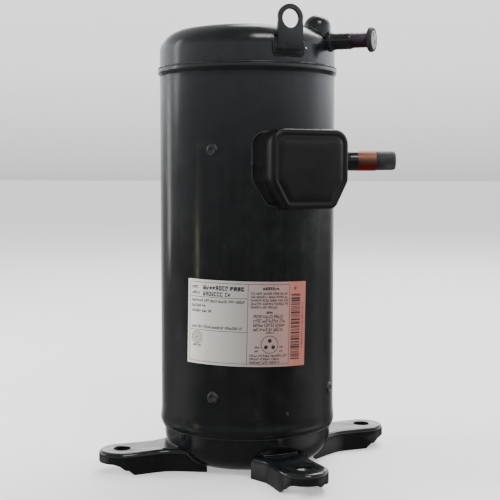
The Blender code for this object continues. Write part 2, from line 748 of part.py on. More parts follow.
def build_lower_frame():
    hub = [(16.3, 60.6), (25, 60.6), (25, 84), (21, 92), (16.3, 92)]
    frame = lathe("lower_frame", hub, IRON, 36)
    for i in range(4):
        place = Matrix.Rotation(math.radians(90 * i), 4, "Z")
        arm = box("frame_arm", (21, 82), (-9, 9), (70, 82), place)
        join(frame, arm, sector("arm_pad", 79.0, PAD_R, 90 * i, 12.0, 66.0, 86.0, 3))


def pump_inner_outline():
    """The inner rotor: the inward offset of the path that a tooth's centre takes around it."""
    points = []
    steps = 48
    lobes = PUMP_LOBES + 1
    reach = PUMP_TOOTH + 0.12
    for i in range(steps):
        a = 2 * math.pi * i / steps
        x = PUMP_RING * math.cos(a) + PUMP_OFFSET * math.cos(lobes * a)
        y = PUMP_RING * math.sin(a) + PUMP_OFFSET * math.sin(lobes * a)
        dx = -PUMP_RING * math.sin(a) - lobes * PUMP_OFFSET * math.sin(lobes * a)
        dy = PUMP_RING * math.cos(a) + lobes * PUMP_OFFSET * math.cos(lobes * a)
        size = math.hypot(dx, dy)
        points.append((x - reach * dy / size, y + reach * dx / size))
    return points


def pump_outer_outline():
    """The outer rotor's opening: five round teeth between root arcs."""
    tooth = PUMP_TOOTH - 0.12
    root = PUMP_RING + 2 * PUMP_OFFSET - PUMP_TOOTH + 0.2
    cosine = (PUMP_RING**2 + tooth**2 - root**2) / (2 * PUMP_RING * tooth)
    half = math.degrees(math.acos(cosine))
    points = []
    for k in range(PUMP_LOBES + 1):
        turn = 360.0 * k / (PUMP_LOBES + 1)
        cx = PUMP_RING * math.cos(math.radians(turn))
        cy = PUMP_RING * math.sin(math.radians(turn))
        points += arc(cx, cy, tooth, turn + 180 + half, turn + 180 - half, 8)
        nx, ny = points[-1]
        start = math.degrees(math.atan2(ny, nx))
        rest = 360.0 / (PUMP_LOBES + 1) - 2 * ((start - turn) % 360.0)
        points += arc(0.0, 0.0, root, start, start + rest, 4)[1:-1]
    return points


def build_pump():
    inner = prism("pump_inner_rotor", pump_inner_outline(), 50.4, 59.4, STEEL)
    cut(inner, disc("inner_bore", 7.3, 45, 65, None, 24))
    shifted = at(PUMP_OFFSET, 0)
    outer = disc("pump_outer_rotor", 19.0, 50.4, 59.4, shifted, ROUND, STEEL)
    cut(outer, prism("outer_bore", pump_outer_outline(), 45, 65, None, shifted))
    housing = disc("pump_housing", 25.0, 46.0, 60.3, None, 36, ALUMINIUM)
    cut(housing, disc("housing_well", 19.1, 50.0, 65.0, shifted, ROUND))
    cut(housing, disc("housing_inlet", 5.0, 40.0, 55.0, None, 16))
    pickup = [(4.2, 45.7), (4.2, 18), (8.2, 12), (9.4, 12), (5.5, 18.6), (5.5, 45.7)]
    lathe("pickup_tube", pickup, STEEL, 20)
    disc("sump_magnet", 10.0, 5.3, 10.3, at(32, 18), 20, IRON)


def build_check_valve():
    """A free disc over the plate's port, inside a cage with four windows that stops its lift."""
    disc("check_valve_disc", 12.0, 397.4, 398.7, None, 24, STEEL)
    cage = [(13.0, 397.4), (17.0, 397.4), (17.0, 405.3), (5.0, 405.3), (5.0, 403.1), (13.0, 403.1)]
    cage = lathe("check_valve_stop", cage, STEEL, 24)
    for i in range(2):
        place = Matrix.Rotation(math.radians(45 + 90 * i), 4, "Z")
        cut(cage, box("cage_window", (-20, 20), (-4, 4), (398.9, 402.3), place))


def main():
    clear_scene()
    build_shell()
    build_caps()
    build_seams()
    for name, angle in FOOT_ANGLES.items():
        build_foot(name, angle)
    build_lug()
    build_discharge()
    build_suction()
    build_terminal_box()
    build_terminal()
    build_leads()
    build_label()
    build_fixed_scroll()
    build_orbiting_scroll()
    build_oldham()
    build_main_frame()
    build_bearings()
    build_bolts()
    build_shaft()
    build_rotor()
    build_stator()
    build_winding()
    build_lower_frame()
    build_pump()
    build_check_valve()


main()
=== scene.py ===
"""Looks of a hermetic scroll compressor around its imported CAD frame. +Z up; lengths below are in mm."""

import json
import math
import random

import bmesh
import bpy
from mathutils import Matrix, Vector, noise


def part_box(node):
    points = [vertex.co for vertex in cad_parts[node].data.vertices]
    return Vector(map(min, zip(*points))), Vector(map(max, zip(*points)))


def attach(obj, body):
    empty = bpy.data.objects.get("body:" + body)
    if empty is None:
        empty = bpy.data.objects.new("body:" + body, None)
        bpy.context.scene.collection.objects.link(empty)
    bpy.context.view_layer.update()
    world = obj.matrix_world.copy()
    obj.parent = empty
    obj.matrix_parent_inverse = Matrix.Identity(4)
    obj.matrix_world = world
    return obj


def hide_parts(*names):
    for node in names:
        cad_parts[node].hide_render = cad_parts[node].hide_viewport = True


MM = 0.001
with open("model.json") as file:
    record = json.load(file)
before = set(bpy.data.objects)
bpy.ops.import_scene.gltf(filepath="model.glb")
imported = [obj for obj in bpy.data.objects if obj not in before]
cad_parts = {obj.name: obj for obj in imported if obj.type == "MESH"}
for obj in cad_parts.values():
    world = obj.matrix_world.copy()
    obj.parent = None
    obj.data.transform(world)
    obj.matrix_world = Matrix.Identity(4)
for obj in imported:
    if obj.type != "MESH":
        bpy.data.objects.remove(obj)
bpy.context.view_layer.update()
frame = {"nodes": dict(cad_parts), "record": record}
nodes = frame["nodes"]


def lowest(node):
    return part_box(node)[0] / MM


def highest(node):
    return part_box(node)[1] / MM


# Sizes read from the frame
SHELL_R = highest("upper_cap").x
LIP_R = highest("shell").x
LIP_TOP = highest("shell").z
SHELL_BASE = lowest("shell").z
CAP_TOP = highest("upper_cap").z
CAP_BASE = lowest("upper_cap").z
BOWL_R = highest("lower_cap").x
BOWL_BASE = lowest("lower_cap").z
BOWL_TOP = highest("lower_cap").z
LUG_TOP = highest("lifting_lug").z
DOME_TOP = highest("discharge_dome").z
TURNS = 160
WALL = 3.0
# Where the pieces on the shell sit: bearing, then height or distance from the axis
BOX_AT, BOX_Z = -38.1, 297.6
LUG_AT, LUG_HOLE_Z, LUG_HOLE_R = -41.6, 439.2, 8.55
DISCHARGE_X, DISCHARGE_Z = 74.5, 423.3
SUCTION_AT, SUCTION_Z = 22.5, 307.0
FOOT_HOLE_AT, FOOT_HOLE_R = 134.7, 8.5
# The feet's half width at a distance from the axis, from the inner end to the tip
FOOT_EDGE = [(60.0, 40.0), (82.0, 28.0), (88.0, 25.0), (96.0, 22.0), (104.0, 21.4), (120.0, 21.9)]
LABEL_AT, LABEL_ARC, LABEL_LOW, LABEL_HIGH, LABEL_SLOPE = -68.6, 121.6, 110.3, 191.9, -0.0239
FILM_R = SHELL_R + 0.6

# The bearing of the camera's side of the machine, and the directions towards the camera and across its view
VIEW_AT = -68.1
TOWARD = Vector((math.cos(math.radians(VIEW_AT)), math.sin(math.radians(VIEW_AT)), 0))
ACROSS = Vector((-TOWARD.y, TOWARD.x, 0))


# ---------------------------------------------------------------- materials


class Tree:
    """A short way to write shader nodes."""

    def __init__(self, tree):
        self.tree = tree

    def add(self, kind, **settings):
        node = self.tree.nodes.new(kind)
        for key, value in settings.items():
            setattr(node, key, value)
        return node

    def link(self, source, target):
        self.tree.links.new(source, target)

    def ramp(self, source, stops):
        node = self.add("ShaderNodeValToRGB")
        ramp = node.color_ramp
        while len(ramp.elements) < len(stops):
            ramp.elements.new(0.5)
        for element, (at, color) in zip(ramp.elements, stops):
            element.position = at
            value = color if isinstance(color, tuple) else (color, color, color)
            element.color = (*value, 1.0)
        self.link(source, node.inputs["Fac"])
        return node.outputs["Color"]

    def remap(self, source, low, high, start=0.0, end=1.0):
        node = self.add("ShaderNodeMapRange")
        node.inputs["From Min"].default_value = start
        node.inputs["From Max"].default_value = end
        node.inputs["To Min"].default_value = low
        node.inputs["To Max"].default_value = high
        self.link(source, node.inputs["Value"])
        return node.outputs["Result"]

    def along(self, source, axis, start, end):
        """How far a place or direction reaches along an axis, as 0 to 1."""
        dot = self.add("ShaderNodeVectorMath", operation="DOT_PRODUCT")
        dot.inputs[1].default_value = axis
        self.link(source, dot.inputs[0])
        return self.remap(dot.outputs["Value"], 0.0, 1.0, start, end)

    def mix(self, factor, a, b, blend="MIX"):
        node = self.add("ShaderNodeMix", data_type="RGBA", blend_type=blend)
        for value, key in ((factor, 0), (a, 6), (b, 7)):
            if isinstance(value, bpy.types.NodeSocket):
                self.link(value, node.inputs[key])
            elif key == 0:
                node.inputs[0].default_value = value
            else:
                node.inputs[key].default_value = (*value, 1.0)
        return node.outputs[2]


class Nodes(Tree):
    """A material's nodes, in the object's own metres."""

    def __init__(self, name):
        self.material = bpy.data.materials.new(name)
        self.material.use_nodes = True
        super().__init__(self.material.node_tree)
        self.shader = self.tree.nodes["Principled BSDF"]
        self.place = self.add("ShaderNodeTexCoord").outputs["Object"]

    def stretched(self, x, y, z):
        mapping = self.add("ShaderNodeMapping")
        mapping.inputs["Scale"].default_value = (x, y, z)
        self.link(self.place, mapping.inputs["Vector"])
        return mapping.outputs["Vector"]

    def noise(self, scale, detail=4.0, rough=0.55, vector=None):
        node = self.add("ShaderNodeTexNoise")
        node.inputs["Scale"].default_value = scale
        node.inputs["Detail"].default_value = detail
        node.inputs["Roughness"].default_value = rough
        self.link(vector or self.place, node.inputs["Vector"])
        return node.outputs["Fac"]

    def voronoi(self, scale):
        node = self.add("ShaderNodeTexVoronoi")
        node.inputs["Scale"].default_value = scale
        self.link(self.place, node.inputs["Vector"])
        return node.outputs["Distance"]

    def bump(self, parts):
        """Height parts, each (source, distance in mm), one on top of another."""
        normal = None
        for source, distance in parts:
            node = self.add("ShaderNodeBump")
            node.inputs["Strength"].default_value = 1.0
            node.inputs["Distance"].default_value = distance * MM
            self.link(source, node.inputs["Height"])
            if normal is not None:
                self.link(normal, node.inputs["Normal"])
            normal = node.outputs["Normal"]
        self.link(normal, self.shader.inputs["Normal"])

    def set(self, **values):
        for key, value in values.items():
            socket = self.shader.inputs[key.replace("_", " ")]
            if isinstance(value, bpy.types.NodeSocket):
                self.link(value, socket)
            else:
                socket.default_value = value


def paint_material(name, dusty=0.0, rough=0.0, lift=1.0):
    """Black enamel: a wet, slightly wavy gloss with fine orange peel, settled dust and scuffed patches."""
    m = Nodes(name)
    broad = m.noise(14.0, 3.0, 0.5)
    fine = m.noise(900.0, 2.0, 0.5)
    dust = m.noise(55.0, 7.0, 0.7)
    streaks = m.noise(1.0, 4.0, 0.6, m.stretched(130.0, 130.0, 6.0))
    speck = m.voronoi(420.0)
    dark = tuple(tone * lift for tone in (0.0030, 0.0032, 0.0036))
    light = tuple(tone * lift for tone in (0.0055, 0.0057, 0.0062))
    base = m.ramp(broad, [(0.3, dark), (0.75, light)])
    grime = m.ramp(dust, [(0.55, 0.0), (0.88, 0.12 + dusty)])
    color = m.mix(grime, base, (0.055, 0.051, 0.047))
    bright = m.ramp(speck, [(0.0, 0.25), (0.03, 0.0)])
    color = m.mix(bright, color, (0.08, 0.08, 0.08))
    m.set(Base_Color=color, Specular_IOR_Level=0.42, Metallic=0.0)
    m.set(Roughness=m.remap(m.mix(0.5, dust, streaks), 0.10 + rough, 0.34 + rough, 0.35, 0.72))
    m.bump([(broad, 0.30), (fine, 0.0020), (dust, 0.015)])
    return m.material


def weld_material(name):
    """Painted weld metal: rippled, rougher, with spatter and a dull painted sheen, a lighter colour on the
    crests.
    """
    m = Nodes(name)
    ripple = m.noise(260.0, 5.0, 0.65)
    big = m.noise(70.0, 4.0, 0.6)
    # The lightest tone lies on the ripple crests as a painted sheen.
    tones = [(0.3, (0.004, 0.004, 0.0045)), (0.62, (0.014, 0.014, 0.015)), (0.85, (0.07, 0.067, 0.064))]
    m.set(Base_Color=m.ramp(ripple, tones), Specular_IOR_Level=0.45)
    m.set(Roughness=m.remap(big, 0.18, 0.5, 0.3, 0.7))
    m.bump([(ripple, 0.35), (big, 0.3)])
    return m.material


def plastic_material():
    """Moulded cover: near black, low sheen, very fine spark-eroded grain and faint handling wear."""
    m = Nodes("cover_moulding")
    grain = m.noise(2600.0, 2.0, 0.5)
    patch = m.noise(32.0, 6.0, 0.65)
    base = m.ramp(patch, [(0.3, (0.0030, 0.0028, 0.0029)), (0.75, (0.0055, 0.0052, 0.0054))])
    m.set(Base_Color=base, Specular_IOR_Level=0.24)
    m.set(Roughness=m.remap(patch, 0.24, 0.40, 0.3, 0.7))
    m.bump([(grain, 0.003), (patch, 0.012)])
    return m.material


def copper_material(name, tones, dark=(0.05, 0.028, 0.026), low=None, rough=0.0):
    """Drawn copper, browned by heat and handling; "low", a height and a red, paints a reflection on the
    underside below that height.
    """
    m = Nodes(name)
    stain = m.noise(60.0, 6.0, 0.6)
    drawn = m.noise(900.0, 4.0, 0.6)
    base = m.ramp(stain, [(0.25, tones[0]), (0.5, tones[1]), (0.8, tones[2])])
    base = m.mix(m.ramp(m.noise(22.0, 5.0, 0.7), [(0.5, 0.0), (0.8, 0.5)]), base, dark)
    # Painted reflection: below the given height the underside is mixed towards a red.
    if low is not None:
        split = m.add("ShaderNodeSeparateXYZ")
        m.link(m.place, split.inputs[0])
        height, reflection_colour = low
        underside_reflection = m.remap(split.outputs["Z"], 1.0, 0.0, (height - 4.0) * MM, (height + 2.0) * MM)
        base = m.mix(underside_reflection, base, reflection_colour)
    m.set(Base_Color=base, Metallic=1.0)
    m.set(Roughness=m.remap(stain, 0.30 + rough, 0.5 + rough, 0.3, 0.7))
    m.bump([(drawn, 0.02), (stain, 0.05)])
    return m.material


def rubber_material(name, base=(0.012, 0.012, 0.013), bloom=(0.045, 0.045, 0.047), rough=0.55):
    """Moulded rubber or plastic with a pale bloom in patches."""
    m = Nodes(name)
    patch = m.noise(90.0, 6.0, 0.65)
    grain = m.noise(1500.0, 3.0, 0.6)
    m.set(Base_Color=m.mix(m.ramp(patch, [(0.42, 0.0), (0.8, 0.8)]), base, bloom), Specular_IOR_Level=0.4)
    m.set(Roughness=m.remap(patch, rough - 0.1, rough + 0.2, 0.3, 0.7))
    m.bump([(grain, 0.02), (patch, 0.08)])
    return m.material


def foil_material():
    """The data label's film: off-white, slightly soiled, darkened by painted shade and reddened towards its
    right end.
    """
    m = Nodes("label_film")
    soil = m.noise(38.0, 7.0, 0.65)
    broad = m.noise(9.0, 2.0, 0.5)
    base = m.ramp(broad, [(0.3, (0.46, 0.46, 0.42)), (0.7, (0.42, 0.41, 0.375))])
    dirt = m.ramp(soil, [(0.45, 0.0), (0.85, 0.28)])
    color = m.mix(dirt, base, (0.32, 0.30, 0.26))
    across = m.along(m.place, ACROSS, -0.062, 0.058)
    # Painted shade: the film grows darker from its left end towards the right.
    painted_shade = m.ramp(across, [(0.07, 0.0), (0.20, 0.5), (0.45, 0.75), (0.75, 1.0), (0.95, 0.75)])
    color = m.mix(painted_shade, color, (0.22, 0.20, 0.185))
    warm = m.ramp(across, [(0.42, 0.0), (0.82, 0.42), (0.90, 0.88)])
    color = m.mix(warm, color, (0.33, 0.078, 0.05))
    m.set(Base_Color=color, Specular_IOR_Level=0.5)
    m.set(Roughness=m.remap(soil, 0.28, 0.46, 0.3, 0.7))
    m.bump([(m.noise(30.0, 3.0, 0.5), 0.10)])
    return m.material


def ink_material():
    """Dark print, slightly worn."""
    m = Nodes("label_ink")
    wear = m.noise(420.0, 5.0, 0.6)
    m.set(Base_Color=m.ramp(wear, [(0.35, (0.006, 0.006, 0.007)), (0.75, (0.03, 0.028, 0.028))]))
    m.set(Roughness=m.remap(wear, 0.35, 0.6), Specular_IOR_Level=0.4)
    return m.material


def metal_material(name, dark, light, low, high, turned=False, metallic=1.0, pits=0.0):
    """A machined or cast metal: turning marks or sand texture, with oil staining."""
    m = Nodes(name)
    stain = m.noise(45.0, 6.0, 0.6)
    if turned:
        marks = m.noise(1.0, 3.0, 0.6, m.stretched(60.0, 60.0, 2600.0))
    else:
        marks = m.noise(1300.0, 4.0, 0.65)
    m.set(Base_Color=m.ramp(m.mix(0.35, stain, marks), [(0.3, dark), (0.7, light)]), Metallic=metallic)
    m.set(Roughness=m.remap(marks, low, high, 0.3, 0.7))
    m.bump([(marks, 0.012 if turned else 0.03 + pits), (stain, 0.05)])
    return m.material


# ---------------------------------------------------------------- mesh helpers


def shade(mesh, angle):
    """Smooth faces with sharp edges above this angle."""
    mesh.shade_smooth()
    mesh.set_sharp_from_angle(angle=math.radians(angle))


def make(name, bm, material, body, replaced=(), place=None, smooth=35.0, slots=()):
    """One piece from a mesh in millimetres, riding on a CAD body."""
    bmesh.ops.recalc_face_normals(bm, faces=bm.faces)
    bmesh.ops.scale(bm, vec=(MM, MM, MM), verts=bm.verts)
    if place is not None:
        matrix = place.copy()
        matrix.translation *= MM
        bmesh.ops.transform(bm, matrix=matrix, verts=bm.verts)
        if matrix.determinant() < 0:
            bmesh.ops.reverse_faces(bm, faces=bm.faces)
    mesh = bpy.data.meshes.new(name)
    bm.to_mesh(mesh)
    bm.free()
    shade(mesh, smooth)
    obj = bpy.data.objects.new(name, mesh)
    bpy.context.scene.collection.objects.link(obj)
    if material is not None:
        mesh.materials.append(material)
    for extra in slots:
        mesh.materials.append(extra)
    if body is not None:
        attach(obj, body)
        if replaced:
            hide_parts(*replaced)
    return obj


def cutter(bm, place=None):
    return make("tool", bm, None, None, place=place)


def radial(angle, height=0.0):
    """A frame whose Z runs outward at this bearing, X along the tangent and Y up."""
    turn = Matrix.Rotation(math.radians(angle), 4, "Z")
    lay = Matrix(((0, 0, 1, 0), (1, 0, 0, 0), (0, 1, 0, 0), (0, 0, 0, 1)))
    return turn @ Matrix.Translation((0, 0, height)) @ lay


def at(x, y, z=0.0):
    return Matrix.Translation((x, y, z))


def arc(cx, cy, radius, start, end, steps):
    points = []
    for i in range(steps + 1):
        a = math.radians(start + (end - start) * i / steps)
        points.append((cx + radius * math.cos(a), cy + radius * math.sin(a)))
    return points


def corner(before, point, after, radius, steps):
    """The arc of this radius that takes a corner's place."""
    p = Vector(point)
    a = (Vector(before) - p).normalized()
    b = (Vector(after) - p).normalized()
    half = math.acos(max(-1.0, min(1.0, a.dot(b)))) / 2
    run = radius / math.tan(half)
    centre = p + (a + b).normalized() * (radius / math.sin(half))
    first = p + a * run - centre
    last = p + b * run - centre
    angle = math.atan2(first.x * last.y - first.y * last.x, first.dot(last))
    points = []
    for k in range(steps + 1):
        c, s = math.cos(angle * k / steps), math.sin(angle * k / steps)
        points.append((centre.x + first.x * c - first.y * s, centre.y + first.x * s + first.y * c))
    return points


def rounded(points, radii, steps):
    """A closed outline with each corner replaced by an arc of its radius."""
    out = []
    for i, (point, radius) in enumerate(zip(points, radii)):
        out += corner(points[i - 1], point, points[(i + 1) % len(points)], radius, steps)
    return out


def fillet(profile, radii, steps=4):
    """A profile whose listed corners, {index: radius}, are rounded."""
    out = []
    for i, point in enumerate(profile):
        out += corner(profile[i - 1], point, profile[i + 1], radii[i], steps) if i in radii else [point]
    return out


def offset(outline, distance):
    """The outline, counterclockwise, moved inward by this distance."""
    moved = []
    count = len(outline)
    for i, (x, y) in enumerate(outline):
        px, py = outline[i - 1]
        nx, ny = outline[(i + 1) % count]
        al = math.hypot(x - px, y - py) or 1e-9
        bl = math.hypot(nx - x, ny - y) or 1e-9
        mx = -(y - py) / al - (ny - y) / bl
        my = (x - px) / al + (nx - x) / bl
        scale = 2 * distance / max(mx * mx + my * my, 0.4)
        moved.append((x + mx * scale, y + my * scale))
    return moved


def lathe_mesh(profile, segments, wobble=None):
    """A closed outline of (radius, height) points turned about Z."""
    bm = bmesh.new()
    rings = []
    for k, (radius, height) in enumerate(profile):
        if radius == 0:
            rings.append([bm.verts.new((0, 0, height))] * segments)
            continue
        ring = []
        for i in range(segments):
            a = 2 * math.pi * i / segments
            r, z = (radius, height) if wobble is None else wobble(a, radius, height, k)
            ring.append(bm.verts.new((r * math.cos(a), r * math.sin(a), z)))
        rings.append(ring)
    for k in range(len(rings)):
        low = rings[k]
        high = rings[(k + 1) % len(rings)]
        if low[0] is low[1] and high[0] is high[1]:
            continue
        for i in range(segments):
            j = (i + 1) % segments
            corners = []
            for vert in (low[i], low[j], high[j], high[i]):
                if vert not in corners:
                    corners.append(vert)
            bm.faces.new(corners)
    return bm


def loft_mesh(loops, close=False):
    bm = bmesh.new()
    rings = [[bm.verts.new(point) for point in loop] for loop in loops]
    pairs = list(zip(rings, rings[1:]))
    if close:
        pairs.append((rings[-1], rings[0]))
    for low, high in pairs:
        for i in range(len(low)):
            j = (i + 1) % len(low)
            bm.faces.new((low[i], low[j], high[j], high[i]))
    if not close:
        bm.faces.new(rings[0])
        bm.faces.new(rings[-1])
    return bm


def prism_mesh(outline, low, high):
    return loft_mesh([[(x, y, z) for x, y in outline] for z in (low, high)])


def keep_modifiers(obj):
    """Makes the modified shape the piece's own mesh."""
    graph = bpy.context.evaluated_depsgraph_get()
    mesh = bpy.data.meshes.new_from_object(obj.evaluated_get(graph))
    obj.modifiers.clear()
    obj.data = mesh


def boolean(obj, cutters):
    """Cuts each tool from the piece and removes the tool."""
    for tool in cutters:
        modifier = obj.modifiers.new("cut", "BOOLEAN")
        modifier.solver = "EXACT"
        modifier.operation = "DIFFERENCE"
        modifier.object = tool
    keep_modifiers(obj)
    for tool in cutters:
        bpy.data.objects.remove(tool)


def soften(obj, width, segments, angle):
    """Rounds the sharp edges of a cut mesh."""
    modifier = obj.modifiers.new("round", "BEVEL")
    modifier.width = width * MM
    modifier.segments = segments
    modifier.limit_method = "ANGLE"
    modifier.angle_limit = math.radians(angle)
    modifier.harden_normals = False
    keep_modifiers(obj)
    shade(obj.data, 40.0)


def wave(x, y=0.0, z=0.0):
    return noise.noise(Vector((x, y, z)))


def bead(name, points, radius, seed, rough, step, replaced=(), closed=False, material=None):
    """A weld bead along a path: overlapping ripples, uneven height, tapered ends."""
    path = [Vector(p) for p in points]
    if closed:
        path.append(path[0])
    lengths = [0.0]
    for a, b in zip(path, path[1:]):
        lengths.append(lengths[-1] + (b - a).length)
    total = lengths[-1]
    count = max(6, int(total / (step * 0.5)))
    centres = []
    k = 0
    for i in range(count + 1):
        s = total * i / count
        while k < len(lengths) - 2 and lengths[k + 1] < s:
            k += 1
        t = (s - lengths[k]) / max(1e-9, lengths[k + 1] - lengths[k])
        centres.append((path[k].lerp(path[k + 1], t), s))
    if closed:
        centres = centres[:-1]
    sides = 8
    bm = bmesh.new()
    rings = []
    n = len(centres)
    for i, (centre, s) in enumerate(centres):
        after = centres[(i + 1) % n][0] if closed or i < n - 1 else centre
        before = centres[i - 1][0] if closed or i > 0 else centre
        tangent = (after - before).normalized()
        side = tangent.cross(Vector((0, 0, 1)))
        if side.length < 0.2:
            side = tangent.cross(Vector((1, 0, 0)))
        side.normalize()
        up = side.cross(tangent)
        grow = 1.0 + 0.10 * math.sin(2 * math.pi * s / step)
        grow = grow + rough * wave(s * 0.11, seed) + 0.1 * wave(s * 0.9, seed + 7)
        if not closed:
            edge = min(s, total - s) / (radius * 1.4)
            grow *= math.sqrt(min(1.0, max(0.02, edge)))
        ring = []
        for j in range(sides):
            a = 2 * math.pi * j / sides
            ring.append(bm.verts.new(centre + (side * math.cos(a) + up * math.sin(a)) * radius * grow))
        rings.append(ring)
    pairs = list(zip(rings, rings[1:]))
    if closed:
        pairs.append((rings[-1], rings[0]))
    for low, high in pairs:
        for j in range(sides):
            q = (j + 1) % sides
            bm.faces.new((low[j], low[q], high[q], high[j]))
    if not closed:
        bm.faces.new(rings[0])
        bm.faces.new(rings[-1])
    make(name, bm, material or WELD, "housing", replaced, smooth=80.0)


# ---------------------------------------------------------------- cap and bowl surfaces

KNUCKLE = 21.0
CROWN = 300.0
CROWN_Z = CAP_TOP - CROWN
KNUCKLE_Z = CROWN_Z + math.sqrt((CROWN - KNUCKLE) ** 2 - (SHELL_R - KNUCKLE) ** 2)
MEET = 90.0 - math.degrees(math.atan2(SHELL_R - KNUCKLE, KNUCKLE_Z - CROWN_Z))
BOWL_KNUCKLE = 29.0


def cap_profile(inward, fine):
    points = [(SHELL_R - inward, CAP_BASE)]
    points += arc(SHELL_R - KNUCKLE, KNUCKLE_Z, KNUCKLE - inward, 0.0, MEET, fine)
    points += arc(0.0, CROWN_Z, CROWN - inward, MEET, 90.0, fine)[1:-1]
    points.append((0.0, CAP_TOP - inward))
    return points


def cap_height(radius):
    """The upper cap's outside height at this distance from the axis."""
    if radius >= SHELL_R:
        return KNUCKLE_Z
    if radius > (SHELL_R - KNUCKLE) + KNUCKLE * math.cos(math.radians(MEET)):
        run = radius - (SHELL_R - KNUCKLE)
        return KNUCKLE_Z + math.sqrt(max(0.0, KNUCKLE**2 - run**2))
    return CROWN_Z + math.sqrt(CROWN**2 - radius**2)


def bowl_profile(inward, fine):
    points = [(BOWL_R - inward, BOWL_TOP)]
    points += arc(BOWL_R - BOWL_KNUCKLE, BOWL_BASE + BOWL_KNUCKLE, BOWL_KNUCKLE - inward, 0.0, -90.0, fine)
    points.append((0.0, BOWL_BASE + inward))
    return points


def bowl_radius(height):
    drop = BOWL_BASE + BOWL_KNUCKLE - height
    if drop <= 0:
        return BOWL_R
    return BOWL_R - BOWL_KNUCKLE + math.sqrt(max(0.0, BOWL_KNUCKLE**2 - drop**2))


# ---------------------------------------------------------------- pieces

PAINT = paint_material("black_enamel")
PAINT_CAP = paint_material("black_enamel_cap", 0.05, 0.02, 1.3)
PAINT_LOW = paint_material("black_enamel_low", 0.06, -0.04)
WELD = weld_material("painted_weld")
PLASTIC = plastic_material()
BROWN = ((0.10, 0.045, 0.032), (0.17, 0.078, 0.052), (0.23, 0.12, 0.085))
PINK = ((0.36, 0.15, 0.10), (0.56, 0.25, 0.16), (0.66, 0.36, 0.26))
# low: a red painted reflection along the underside of the suction stub
COPPER = copper_material("drawn_copper", BROWN, low=(303.0, (0.42, 0.035, 0.022)), rough=0.08)
RUBBER = rubber_material("bung_rubber")
PLUG_FACE = rubber_material("plug_face", (0.26, 0.26, 0.265), (0.38, 0.38, 0.385), 0.5)
FOIL = foil_material()
INK = ink_material()
STEEL = metal_material("machined_steel", (0.30, 0.30, 0.31), (0.52, 0.52, 0.53), 0.25, 0.42, True)
IRON = metal_material("cast_iron_skin", (0.09, 0.09, 0.092), (0.2, 0.2, 0.205), 0.5, 0.7, False, 0.8, 0.05)
ALLOY = metal_material("aluminium_casting", (0.55, 0.55, 0.56), (0.75, 0.75, 0.76), 0.3, 0.5)
BRONZE = metal_material("bearing_bronze", (0.36, 0.23, 0.10), (0.60, 0.42, 0.20), 0.28, 0.45, True)
WIRE = copper_material("winding_copper", PINK)
HEATED = ((0.055, 0.040, 0.060), (0.085, 0.062, 0.090), (0.12, 0.090, 0.115))
# low: a red painted reflection along the underside of the discharge stub
COPPER_STUB = copper_material("brazed_copper", HEATED, low=(418.5, (0.20, 0.045, 0.055)), rough=0.1)
COPPER_DARK = copper_material("braze_filler", ((0.06, 0.05, 0.05), (0.12, 0.09, 0.08), (0.20, 0.15, 0.12)))


def build_shell():
    """The drawn tube: its foot rolled in, its lip belled out, and the openings for suction and terminals."""
    foot = [(86.0, 0.0), (88.1, 0.4), (89.3, 4.2), (89.45, 7.4), (88.9, 12.0)]
    outer = [(r, SHELL_BASE + z) for r, z in foot + [(SHELL_R, 17.0), (SHELL_R, 60.0)]]
    # Rings close above and below the two openings keep the faces cut there short.
    outer += [(SHELL_R, 200.0), (SHELL_R, 272.5), (SHELL_R, 294.0), (SHELL_R, 322.0), (SHELL_R, 384.0)]
    outer += [(SHELL_R, 391.0), (LIP_R, 394.3), (LIP_R, LIP_TOP), (SHELL_R + 0.4, LIP_TOP)]
    bore = SHELL_R - WALL
    inner = [(SHELL_R + 0.35, 394.4), (bore, 394.0), (bore, SHELL_BASE + 0.6), (85.7, SHELL_BASE)]
    radii = {1: 1.6, 2: 3.0, 3: 3.0, 4: 6.0, 12: 2.2, 13: 1.0, 14: 0.5}
    profile = fillet(outer + inner, radii, 4)

    def wobble(a, r, z, k):
        if z > 392.0 and r > SHELL_R + 0.3:
            r = min(LIP_R, r + 0.15 * wave(2.0 * math.cos(a), 2.0 * math.sin(a)) - 0.12)
        return r, z

    shell = make("shell_skin", lathe_mesh(profile, TURNS, wobble), PAINT, None)
    cutters = []
    for angle, height, radius in ((SUCTION_AT, SUCTION_Z, 10.65), (BOX_AT, BOX_Z, 21.8)):
        tool = lathe_mesh([(0, 70), (radius, 70), (radius, 98), (0, 98)], 48)
        cutters.append(cutter(tool, radial(angle, height)))
    boolean(shell, cutters)
    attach(shell, "housing")
    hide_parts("shell")


def build_caps():
    profile = cap_profile(0.0, 14) + cap_profile(WALL, 8)[::-1]
    cap = make("upper_cap_skin", lathe_mesh(profile, TURNS), PAINT_CAP, None)
    tool = lathe_mesh([(0, 415), (10.4, 415), (10.4, 450), (0, 450)], 32)
    boolean(cap, [cutter(tool, at(DISCHARGE_X, 0))])
    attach(cap, "housing")
    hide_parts("upper_cap")
    profile = bowl_profile(0.0, 16) + bowl_profile(WALL, 8)[::-1]
    make("lower_cap_skin", lathe_mesh(profile, TURNS), PAINT_LOW, "housing", ["lower_cap"])


def circle(radius, height, steps=240):
    return [(x, y, height) for x, y in arc(0.0, 0.0, radius, 0.0, 360.0, steps)[:-1]]


def build_seams():
    bead("top_seam_bead", circle(89.6, 398.7), 1.05, 3.0, 0.30, 2.4, ["top_seam_weld"], True)
    low = circle(86.1, SHELL_BASE - 0.7)
    bead("bottom_seam_bead", low, 1.0, 9.0, 0.35, 2.2, ["bottom_seam_weld"], True)


